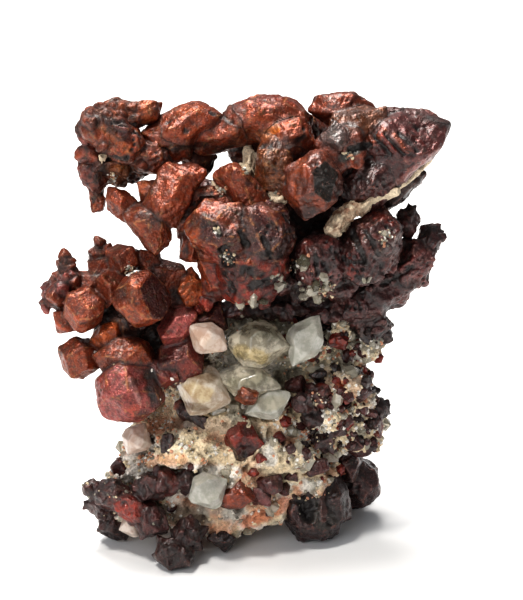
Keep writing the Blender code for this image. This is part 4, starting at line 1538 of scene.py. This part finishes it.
QUARTZ = {
    "quartz_milky": (MILKY, quartz(207, 338, 11, 4.5, 3, 3, -35)),
    "quartz_grey": (GREY, quartz(259, 343, 9, 6.5, 4.9, 4.7, -8, (0.1, 0.95, 0.3, 3.5),
                                 (-0.5, 0.6, 0.6, 4.1), (0.8, 0.3, 0.5, 4.9), (-0.95, 0.2, 0.3, 5.2))),
    "quartz_clear": (CLEAR, quartz(306, 340, 8, 5.7, 3.4, 3.4, 62)),
    "quartz_cream": (WARM, quartz(203, 391, 9, 6.2, 4.8, 4.5, -22, (-0.3, 0.9, 0.3, 3.8),
                                  (0.2, -0.9, 0.4, 3.7), (-0.9, 0.1, 0.4, 4.7))),
    "quartz_middle": (GREY, quartz(248, 380, 9, 6.8, 3.2, 3.4, -10, (-0.2, 0.6, 0.8, 2.6),
                                   (-0.95, -0.1, 0.3, 5.0))),
    "quartz_low": (CLEAR, quartz(268, 404, 9, 4.8, 2.9, 3, 25)),
    "quartz_round": (CLEAR, quartz(208, 491, 12, 4.2, 3.4, 3.2, 30)),
    "quartz_left": (MILKY, quartz(137, 440, 7, 3.6, 2.9, 3, 60)),
    "quartz_corner": (MILKY, quartz(131, 526, 7, 2.6, 2.2, 2.4, 20)),
    "quartz_back_tall": (CLEAR, quartz(300, 350, -17, 9, 4.6, 4.6, 70)),
    "quartz_back_wide": (GREY, quartz(205, 395, -17, 8, 4.4, 4.4, -20)),
    "quartz_back_low": (MILKY, quartz(285, 440, -20, 6.5, 4, 4, 35)),
}
QUARTZ_MARKS = [
    mark(240, 352, 262, 358, 9, colour("fff0c8"), 0.9),
    mark(246, 330, 272, 334, 8, colour("8d8f86"), 0.7),
    mark(188, 390, 205, 396, 11, colour("fff3d4"), 0.9),
    mark(190, 375, 210, 378, 8, colour("b9a890"), 0.7),
    mark(184, 405, 205, 408, 5, colour("8a7a66"), 0.7),
    mark(196, 338, 216, 346, 9, colour("fff4ea"), 0.8),
    mark(262, 404, 280, 402, 8, colour("efe6d2"), 0.6),
    mark(232, 384, 262, 380, 8, colour("c8cabc"), 0.6),
]


def grow_quartz(node, finish, row):
    """A single crystal with crisp edges and a faint swell on its faces."""
    points, squares = skin([crystal_surface(row, 60, 72)], QUARTZ_VOXEL)
    points = set_back([row], points)
    height = SWELL * rough(points, SWELL_SIZE, 4, row["seed"])
    points = points + outward(points, squares) * height[:, None]
    tint, _ = draw_marks(QUARTZ_MARKS, points, outward(points, squares), np.ones((len(points), 3)))
    mesh = make_mesh(node, points, squares)
    add_field(mesh, "tint", tint)
    return add_piece(node + "_crystal", mesh, finish, "quartz", node)


for node, (finish, row) in QUARTZ.items():
    grow_quartz(node, finish, row)
print("quartz crystals:", len(QUARTZ))

# %% [markdown]
# ## The rock
#
# The rock is a pale mix of quartz and feldspar grains, cream and pink, with ledges where it broke. It
# is fused from a few boulders, like the copper, and then roughened far more: broken steps, hollows and
# grain. It could be cut from one block with noise alone, but the boulders put its ledges in the right
# places.

# %% Place the boulders
ROCK = [
    crystal(225, 468, -3, 21, 11, 12.5, 2, "blunt"),
    crystal(248, 405, -5, 20, 12, 13, 0, "lump"),
    crystal(280, 345, -6, 13, 9, 12, 0, "lump"),
    crystal(159, 455, 0, 8.5, 8.2, 9, 80, "lump"),
    crystal(133, 503, 0, 6.5, 5, 7, 0, "lump"),
    crystal(336, 400, -5, 7.5, 11, 10, 0, "lump"),
    crystal(235, 508, 2, 14, 5, 7, 5, "lump"),
    crystal(318, 450, -10, 8, 7, 9, 0, "lump"),
    crystal(185, 452, 6, 8, 4.4, 5.5, 10, "blunt"),
    crystal(262, 452, 6, 9, 4, 5, -8, "blunt"),
    crystal(341, 322, 2, 2.2, 4.4, 3, 10, "lump"),
    crystal(369, 337, -1, 3.4, 4.0, 4, 0, "lump"),
    crystal(345, 388, 3.5, 4.4, 3.0, 4, 10, "lump"),
    crystal(356, 402, 1, 3.0, 3.0, 4, 10, "lump"),
    crystal(328, 416, 3, 5.0, 4.6, 4.4, 10, "lump"),
    crystal(345, 432, 0, 4.6, 5.0, 4.4, 10, "lump"),
    crystal(366, 430, -4, 3.4, 5.0, 4.0, 0, "lump"),
]
print("boulders:", len(ROCK))

# %% [markdown]
# ## The rock's relief and colour
#
# The relief has four parts, from broad hollows to grain, and pits in patches. The colour is worked out
# at each point: cream, with broad patches of the other minerals, and more grey on top as painted shade
# under the crystals. The finish adds the finest grain, which is too small for the mesh.

# %% Roughen and colour the rock
CREAM = colour("ecd8b6")
PINK = colour("d89c7c")
PALE = colour("f2ece2")
STONE = colour("8d887a")
WAVE_SIZE = 6.0
WAVE_HEIGHT = 1.2
LEDGE_SIZE = 3.4
LEDGE_HEIGHT = 0.9
BREAK_SIZE = 2.2
BREAK_HEIGHT = 0.75
GRAIN_SIZE = 0.9
GRAIN_HEIGHT = 0.3
ROCK_LOWERED = 0.3  # how far the whole relief is set down into the boulders
ROCK_PIT_PATCH = 5.0
ROCK_PIT_SIZE = 2.2
ROCK_PIT_DEPTH = 1.4
LOW_DOWN = (22, 8)  # heights in mm between which the rock turns pink
# Painted shade: grey comes in on the rock's top, under the crystals, between these heights.
SHADE_UNDER_CRYSTALS = (26, 34)  # and those between which it turns grey


def rock_relief(points):
    """Broad hollows, plus broken steps, plus sharp crests, plus grain, less pits in patches."""
    height = WAVE_HEIGHT * rough(points, WAVE_SIZE, 4, 71, 0.55) - ROCK_LOWERED
    height += LEDGE_HEIGHT * stepped(rough(points, LEDGE_SIZE, 3, 81), 4)
    height += BREAK_HEIGHT * ridged(points, BREAK_SIZE, 4, 61)
    height += GRAIN_HEIGHT * rough(points, GRAIN_SIZE, 2, 91)
    patch = smooth_between(-0.1, 0.3, lumps(points, ROCK_PIT_PATCH, 131))
    pit = smooth_between(0.6, 0.15, scatter_distance(points, ROCK_PIT_SIZE, 135))
    return height - ROCK_PIT_DEPTH * patch * pit


def rock_tint(points):
    """Cream, with pink patches low down, pale ones, and grey ones, more of them on top as painted shade.
    """
    low_down = smooth_between(*LOW_DOWN, points[:, 2])
    shade_under_crystals = smooth_between(*SHADE_UNDER_CRYSTALS, points[:, 2])
    pink = smooth_between(0.0, 0.4, rough(points, 7.0, 3, 101) + 0.35 * low_down)
    pale = smooth_between(0.05, 0.35, rough(points, 4.0, 3, 111))
    # Grey patches of stone, more of them on top, where grey is painted shade under the crystals.
    grey = smooth_between(0.1, 0.5, rough(points, 3.0, 3, 121) + 0.5 * shade_under_crystals)
    tint = np.broadcast_to(CREAM, (len(points), 3))
    for share, toward in ((pink, PINK), (pale, PALE), (grey, STONE)):
        tint = tinted(tint, toward, 0.85 * share)
    return tint


SPECKS = (1.6, 4.0, 0.7, 0.58, 0.68)
GRAINS_PER_MM = 2.2
GRAIN_BUMP = 0.0003  # metres


def grainy_finish(name, speck_tint, shade_tint, roughness):
    """Granular mineral: the stored tint with specks and painted shade in creases, dull, with a sugary
    bump.
    """
    finish, tree, shader = new_finish(name)
    where = in_millimetres(tree)
    grain = add_node(tree, "ShaderNodeTexVoronoi", Vector=where, Scale=GRAINS_PER_MM)
    speck = patches(tree, where, *SPECKS)
    shade = between(tree, grain.outputs[1], 0.0, 1.0, 0.72, 1.15)
    base = mixed(tree, 1.0, field(tree, "tint"), shade, "MULTIPLY")
    base = mixed(tree, math_of(tree, "MULTIPLY", speck, 0.3), base, (*speck_tint, 1.0))
    # Painted shade: the crease field darkens hollows and seams.
    hollow = math_of(tree, "MULTIPLY", field(tree, "crease", "Fac"), 0.6)
    base = mixed(tree, hollow, base, (*shade_tint, 1.0))
    tree.links.new(base, shader.inputs["Base Color"])
    shader.inputs["Roughness"].default_value = roughness
    fine = math_of(tree, "ADD", grain.outputs[0], noise(tree, where, 3.5, 4.0, 0.7))
    add_bump(tree, shader, fine, 0.9, GRAIN_BUMP)
    return finish


GRANULAR = grainy_finish("granular_rock", colour("8a6a52"), colour("33241c"), 0.7)
print("finish:", GRANULAR.name)

# %% [markdown]
# ## The rock's skin
#
# Next to a crystal the rock drops back, and shade is painted into the seam, so that every crystal
# stands proud in a dark seam. A few marks put the palest ledge, the pink corner and the grey hollow
# where the photograph has them.

# %% Build the rock
ROCK_VOXEL = 0.3
SINK = 1.5
SEAM_WIDTH = 0.9
ROCK_HOLLOWS = (-0.7, -1.6)
BESIDE_ROCK = 16  # how many rows of the left cluster, from the first, the rock drops back beside
GROWN_IN_ROCK = FOOT_RIGHT + FOOT_LEFT + BASE_LEFT + FOOT_BACK + LEFT_CLUSTER[:BESIDE_ROCK]
ROCK_MARKS = [
    mark(178, 448, 236, 456, 15, colour("fff0cc"), 0.75, 0.2),
    mark(240, 436, 300, 418, 13, colour("f8e2bc"), 0.6, 0.2),
    mark(186, 470, 236, 472, 7, colour("fffaf0"), 0.85, 0.3),
    mark(150, 462, 182, 460, 8, colour("eaa468"), 0.6),
    mark(246, 522, 290, 502, 9, colour("e08a60"), 0.75, 0.2),
    mark(165, 512, 200, 516, 12, STONE, 0.75),
    mark(206, 508, 240, 512, 9, colour("b8b2a6"), 0.6),
    mark(330, 384, 366, 392, 10, colour("f2cfae"), 0.7, 0.2),
    mark(341, 304, 341, 332, 6, colour("f4d6b0"), 0.85),
    mark(326, 372, 346, 376, 7, colour("f0d8bc"), 0.7),
    mark(180, 425, 225, 425, 9, colour("b59a86"), 0.6),
]


def build_rock():
    """Fuses the boulders, drops the rock back beside crystals, and breaks its surface up."""
    points, squares = skin([crystal_surface(row) for row in ROCK], ROCK_VOXEL)
    neighbours = GROWN_IN_ROCK + [row for _, row in QUARTZ.values()]
    gap = np.maximum(clearances(neighbours, points).min(axis=0), 0)
    beside = np.exp(-gap / SEAM_WIDTH)
    height = rock_relief(points)
    points = points + outward(points, squares) * (height - SINK * beside)[:, None]
    points[:, 2] = np.maximum(points[:, 2], 0.0)
    tint, raised = draw_marks(ROCK_MARKS, points, outward(points, squares), rock_tint(points))
    points = points + NEAR * raised[:, None]
    mesh = make_mesh("rock", points, squares)
    add_field(mesh, "tint", tint)
    # Painted shade in the relief's hollows and in the seams beside crystals.
    hollow = smooth_between(*ROCK_HOLLOWS, height) + 0.7 * beside**2
    add_field(mesh, "crease", np.clip(hollow, 0, 1))
    add_piece("granular_matrix", mesh, GRANULAR, "rock", "rock_matrix")
    return points, outward(points, squares)


rock_points, rock_normals = build_rock()
print("rock points:", len(rock_points))

# %% [markdown]
# ## The cream crust
#
# A crust of calcite hangs along the lower edge of the wedge, thick and brownish under the pointed
# crystal and thin towards the tip. It is fused from flat lumps and ribbed across its length. Five small
# pale lumps of the same crust sit between the upper crystals, where the real piece shows bright bits.

# %% Grow the crust
CRUST = [
    crystal(402, 184, 3, 5.6, 0.55, 2.6, 38, "slab"),
    crystal(378, 199, 5, 4.6, 0.8, 3.0, 22, "slab"),
    crystal(344, 217, 8.4, 4.2, 1.5, 2.6, 46, "lump"),
    crystal(362, 207, 7, 3.6, 1.2, 2.8, 30, "lump"),
    crystal(423, 167, 2, 2.6, 0.45, 1.8, 40, "lump"),
    crystal(336, 229, 9.2, 2.0, 1.0, 1.8, 62, "lump"),
    crystal(389, 190, 4, 2.0, 0.9, 2.4, 60, "lump"),
]
WHITE_CRUST = [
    crystal(223, 189, 6.8, 2.5, 2.1, 2.0, 30, "lump"),
    crystal(251, 162, 1.5, 1.5, 3.0, 2.0, 10, "lump"),
    crystal(246, 175, 3.5, 1.8, 2.0, 1.8, 0, "lump"),
    crystal(277, 197, 9, 2.2, 1.8, 1.8, 35, "lump"),
    crystal(102, 158, 8.5, 1.0, 0.8, 0.9, 0, "lump"),
]
CRUST_VOXEL = 0.22
CRUST_CREAM = colour("f4dfc0")
CRUST_BROWN = colour("8a5a40")
RIB_STRETCH = (1.6, 1.6, 0.5)
CRUSTY = grainy_finish("cream_crust", colour("c09a78"), colour("7a5540"), 0.6)


def build_crust(name, rows, browning, *nodes):
    """Fuses the lumps, then adds ribs and crumbs, and browns the thick end."""
    points, squares = skin([crystal_surface(row) for row in rows], CRUST_VOXEL)
    normals = outward(points, squares)
    thick = smooth_between(25, 19, points[:, 0])
    ribs = ridged(points * RIB_STRETCH, 1.6, 3, 141) + rough(points, 1.0, 3, 151)
    height = (0.1 + 0.3 * thick) * ribs
    points = bent(points + normals * height[:, None], 0.5, 2.5, 161)
    blotches = smooth_between(-0.4, 0.5, rough(points, 1.0, 3, 171))
    brown = browning * smooth_between(26, 18, points[:, 0]) * blotches
    tint = tinted(CRUST_CREAM, CRUST_BROWN, 0.9 * brown)
    mesh = make_mesh(name, points, squares)
    add_field(mesh, "tint", tint)
    # Painted shade in the hollows between the ribs.
    add_field(mesh, "crease", smooth_between(-0.1, -0.4, height))
    return add_piece(name, mesh, CRUSTY, "calcite", *nodes)


crust = build_crust("cream_crust", CRUST, 1.0, "calcite_film")
white_crust = build_crust("white_crust", WHITE_CRUST, 0.2)
print("crust points:", len(crust.data.vertices), "and white:", len(white_crust.data.vertices))

# %% [markdown]
# ## Crystals set in the rock
#
# Small dark red copper crystals stick out of the rock. The larger ones have a place of their own. To
# find the rock's surface at a pixel, all its points are sorted into small cells of the picture, and
# each cell keeps the point that is nearest to the eye.

# %% Set copper crystals in the rock
CELL = 2.0  # pixels
GRID = np.ceil(np.array(PICTURE_SIZE) / CELL).astype(int)


def front_map(points):
    """For each cell of the picture, the number of the nearest point that shows in it, or -1."""
    cells = np.floor(pixels_of(points) / CELL).astype(int)
    inside = np.all((cells >= 0) & (cells < GRID), axis=1)
    order = np.flatnonzero(inside)[np.argsort(points[inside] @ NEAR)]
    nearest = np.full(GRID, -1)
    nearest[cells[order, 0], cells[order, 1]] = order
    return nearest


rock_front = front_map(rock_points)


def on_rock(px, py, radius, tint=None, stretch=1.0, roll=0.0, habit="bit", proud=0.2):
    """A crystal that sits on the front of the rock at a pixel."""
    point = rock_points[rock_front[int(px / CELL), int(py / CELL)]]
    half = (radius * stretch, radius * NUB_WIDTH, radius)
    seed = int(px) * 1000 + int(py)
    return crystal_at(point + NEAR * proud * radius, half, roll, habit, seed, (), tint)


STUDS = [
    on_rock(240, 434, 3.0, RED, 1.1),
    crystal(247, 396, 12.6, 2.1, 1.8, 2.0, tint=ORANGE),
    on_rock(192, 416, 1.5, DARK, 2.2, -30, "slab"),
    on_rock(180, 411, 1.0, RUST, 2.2, -62, "slab"),
    on_rock(243, 450, 1.9, DARK),
    on_rock(260, 457, 0.9, RED),
    on_rock(277, 439, 1.0, RED, 1.7, 35, "slab"),
    on_rock(166, 443, 1.3, DARK, 1.6, 75, "slab"),
    on_rock(316, 467, 1.5, MAROON, 1.6, 20, "slab"),
    on_rock(236, 494, 2.7, RUST, 1.1),
    on_rock(226, 500, 1.6, MAROON),
    on_rock(272, 483, 1.9, MAROON, 1.2, 20),
    on_rock(263, 497, 2.0, PLUM),
    on_rock(118, 466, 2.0, MAROON),
    on_rock(223, 538, 2.2, DARK),
    on_rock(246, 536, 2.0, DARK),
    on_rock(255, 472, 1.0, RED),
    on_rock(285, 488, 1.3, MAROON),
    on_rock(293, 476, 1.2, MAROON),
    on_rock(205, 478, 0.9, RED),
    on_rock(290, 447, 1.0, MAROON),
    on_rock(297, 385, 1.8, MAROON),
    on_rock(287, 372, 1.5, MAROON),
    on_rock(318, 375, 1.5, DARK),
    on_rock(345, 355, 1.6, MAROON),
    on_rock(338, 340, 2.0, RED),
    on_rock(352, 372, 1.6, DARK),
    on_rock(362, 392, 1.5, MAROON),
    on_rock(285, 400, 1.2, MAROON),
]
grow_copper("rock", STUDS, MAROON, DARK_COPPER, "copper_dark", pits=0.25, hills=0.1, plates=0.2,
            nodes=())

# %% [markdown]
# ## Grains
#
# The rock crumbles into grains of its own minerals, with bits of quartz and copper between them. Each
# kind is one low shape, copied by arrays: every copy is turned, stretched and sunk by chance. They
# could be scattered by geometry nodes as well, but arrays let noise decide where each kind gathers.

# %% Shape and scatter grains
def low_shape(rows, sides, point=1.0):
    """A small closed shape of a few dozen faces: rings of corners between two tips."""
    directions, triangles = ball_grid(rows, sides)
    return directions * [point, 1.0, 1.0], triangles


def chance_turns(chance, count):
    """Even random rotations, from four normal chance numbers each."""
    w, x, y, z = chance.normal(size=(4, count))
    size = np.sqrt(w * w + x * x + y * y + z * z)
    w, x, y, z = w / size, x / size, y / size, z / size
    rows = [[1 - 2 * (y * y + z * z), 2 * (x * y - z * w), 2 * (x * z + y * w)],
            [2 * (x * y + z * w), 1 - 2 * (x * x + z * z), 2 * (y * z - x * w)],
            [2 * (x * z - y * w), 2 * (y * z + x * w), 1 - 2 * (x * x + y * y)]]
    return np.array(rows).transpose(2, 0, 1)


def scatter(name, spots, normals, sizes, tints, shape, finish, slot, seed, sink):
    """Copies of one shape at given spots: each turned, stretched, sized and partly sunk."""
    chance = np.random.default_rng(seed)
    directions, triangles = shape
    count = len(spots)
    stretched = directions[None] * chance.uniform(0.7, 1.3, (count, 1, 3)) * sizes[:, None, None]
    stretched = stretched * chance.uniform(0.82, 1.12, (count, len(directions), 1))
    placed = np.einsum("nij,nkj->nki", chance_turns(chance, count), stretched)
    points = (placed + (spots - normals * (sink * sizes)[:, None])[:, None]).reshape(-1, 3)
    points[:, 2] = np.maximum(points[:, 2], 0.0)
    faces = (triangles[None] + len(directions) * np.arange(count)[:, None, None]).reshape(-1, 3)
    mesh = make_mesh(name, points, faces)
    add_field(mesh, "tint", np.repeat(tints, len(directions), axis=0))
    for key in ("shade", "crease", "edge"):
        add_field(mesh, key, np.zeros(len(points)))
    print(name, count, "grains,", len(faces), "triangles")
    return add_piece(name, mesh, finish, slot, smooth=False)


def picked(points, weight, count, seed):
    """The numbers of chance points, likelier where the weight is high."""
    chance = np.random.default_rng(seed)
    return chance.choice(len(points), size=count, replace=False, p=weight / weight.sum())


def chosen_tints(tints, count, seed):
    """For each grain, one of several tints, each with its own share."""
    colours, parts = zip(*tints)
    return np.array(colours)[np.random.default_rng(seed).choice(len(colours), size=count, p=parts)]


SIZES = np.random.default_rng(5)
CRUMB = low_shape(2, 5)
SPLINTER = low_shape(2, 6, 1.5)
BIT = low_shape(3, 6)


def grains(name, ground, spots, sizes, tints, shape, finish, slot, seed, sink=0.0):
    """Grains at some of a ground's points, their sizes smallest + more * chance**power."""
    points, normals = ground
    smallest, more, power = sizes
    radii = smallest + more * SIZES.uniform(0, 1, len(spots)) ** power
    colours = chosen_tints(tints, len(spots), seed)
    scatter(name, points[spots], normals[spots], radii, colours, shape, finish, slot, seed + 1, sink)


print("faces of a crumb, a splinter and a bit:", len(CRUMB[1]), len(SPLINTER[1]), len(BIT[1]))

# %% [markdown]
# ## Grains on the rock
#
# Crumbs lie all over the rock, most of them in patches. Splinters of quartz gather low down, and dark
# bits of copper on the right, where the small crystals crowd. Weights say how likely each point is.

# %% Scatter the grains on the rock
ROCK_GROUND = (rock_points, rock_normals)
rock_pixels = pixels_of(rock_points)  # the next two weights change between places in the picture
right_side = smooth_between(275, 300, rock_pixels[:, 0]) * smooth_between(475, 455, rock_pixels[:, 1])
low_down = smooth_between(468, 485, rock_pixels[:, 1])
patchy = smooth_between(-0.1, 0.4, rough(rock_points, 5.0, 3, 201))

spots = picked(rock_points, 0.12 + 0.7 * patchy + 0.5 * right_side, 5200, 21)
grains("crumbs", ROCK_GROUND, spots, (0.16, 0.34, 1),
       [(PALE, 0.4), (CREAM, 0.32), (PINK, 0.2), (STONE, 0.08)], CRUMB, GRANULAR, "rock", 22, 0.1)
spots = picked(rock_points, 0.1 + 0.3 * right_side + 0.35 * low_down + 0.5 * patchy, 420, 31)
grains("quartz_bits", ROCK_GROUND, spots, (0.35, 1.3, 3), [(PALE, 1.0)], SPLINTER, CLEAR,
       "quartz", 32, 0.1)
spots = picked(rock_points, 0.02 + 1.0 * right_side + 0.4 * low_down * patchy, 520, 41)
grains("copper_bits", ROCK_GROUND, spots, (0.35, 1.1, 2),
       [(MAROON, 0.4), (RED, 0.2), (DARK, 0.3), (RUST, 0.1)], BIT, DARK_COPPER, "copper_dark", 42)

# %% [markdown]
# ## Bits on the copper
#
# Bits of quartz and pale crumbs also sit on the copper: in the hollow above the rock, in the seams of
# the lower crystals and in a few clumps that each have a place in the photograph.

# %% Scatter bits on the copper
copper_points, copper_normals, copper_hollow = (np.concatenate(part) for part in zip(*COPPER_SKINS))
copper_pixels = pixels_of(copper_points)
copper_front = front_map(copper_points)
SHOWN_DEPTH = 1.0  # millimetres behind the nearest point at which a point still counts as seen
in_cells = np.clip(np.floor(copper_pixels / CELL).astype(int), 0, GRID - 1)
front_depth = (copper_points @ NEAR)[copper_front[in_cells[:, 0], in_cells[:, 1]]]
on_show = copper_points @ NEAR > front_depth - SHOWN_DEPTH
print("copper points that show in the picture:", on_show.sum(), "of", len(on_show))


CLUMP_EDGE = 1.5  # times a clump's reach


def clump(px, py, reach, count, seed):
    """The numbers of chance copper points that show within reach of a pixel."""
    off = np.linalg.norm(copper_pixels - [px, py], axis=1) / reach
    return picked(copper_points, on_show * np.exp(-2 * off**2) * (off < CLUMP_EDGE), count, seed)


def clumps(table, first_seed):
    """The points of several clumps, each a row of pixel, reach and count."""
    return np.concatenate([clump(*row, first_seed + number) for number, row in enumerate(table)])


COPPER_GROUND = (copper_points, copper_normals)
QUARTZ_CLUMPS = [(300, 262, 6, 7), (279, 280, 6, 8), (325, 284, 7, 9), (368, 280, 4, 3),
                 (386, 236, 5, 3), (310, 294, 12, 12), (250, 305, 12, 8)]
CRUMB_CLUMPS = [(131, 269, 5, 40), (249, 168, 6, 60), (222, 190, 5, 40), (275, 197, 6, 50),
                (300, 265, 9, 60), (325, 288, 9, 60), (228, 258, 6, 40), (217, 231, 4, 16),
                (112, 178, 5, 30), (386, 236, 7, 40), (350, 156, 5, 20)]
grains("quartz_on_copper", COPPER_GROUND, clumps(QUARTZ_CLUMPS, 50), (0.35, 0.9, 2),
       [(PALE, 0.7), (STONE, 0.3)], SPLINTER, CLEAR, "quartz", 61)
# The seams that gather crumbs lie between 6 and 42 mm above the ground.
low = smooth_between(42, 34, copper_points[:, 2]) * smooth_between(6, 16, copper_points[:, 2])
seams = copper_hollow**2 * smooth_between(0.1, 0.4, rough(copper_points, 2.5, 2, 95))
spots = np.concatenate([clumps(CRUMB_CLUMPS, 70), picked(copper_points, low * seams, 400, 91)])
grains("crumbs_on_copper", COPPER_GROUND, spots, (0.12, 0.3, 2),
       [(PALE, 0.1), (CREAM, 0.3), (STONE, 0.45), (PINK, 0.15)], CRUMB, GRANULAR, "calcite", 92)
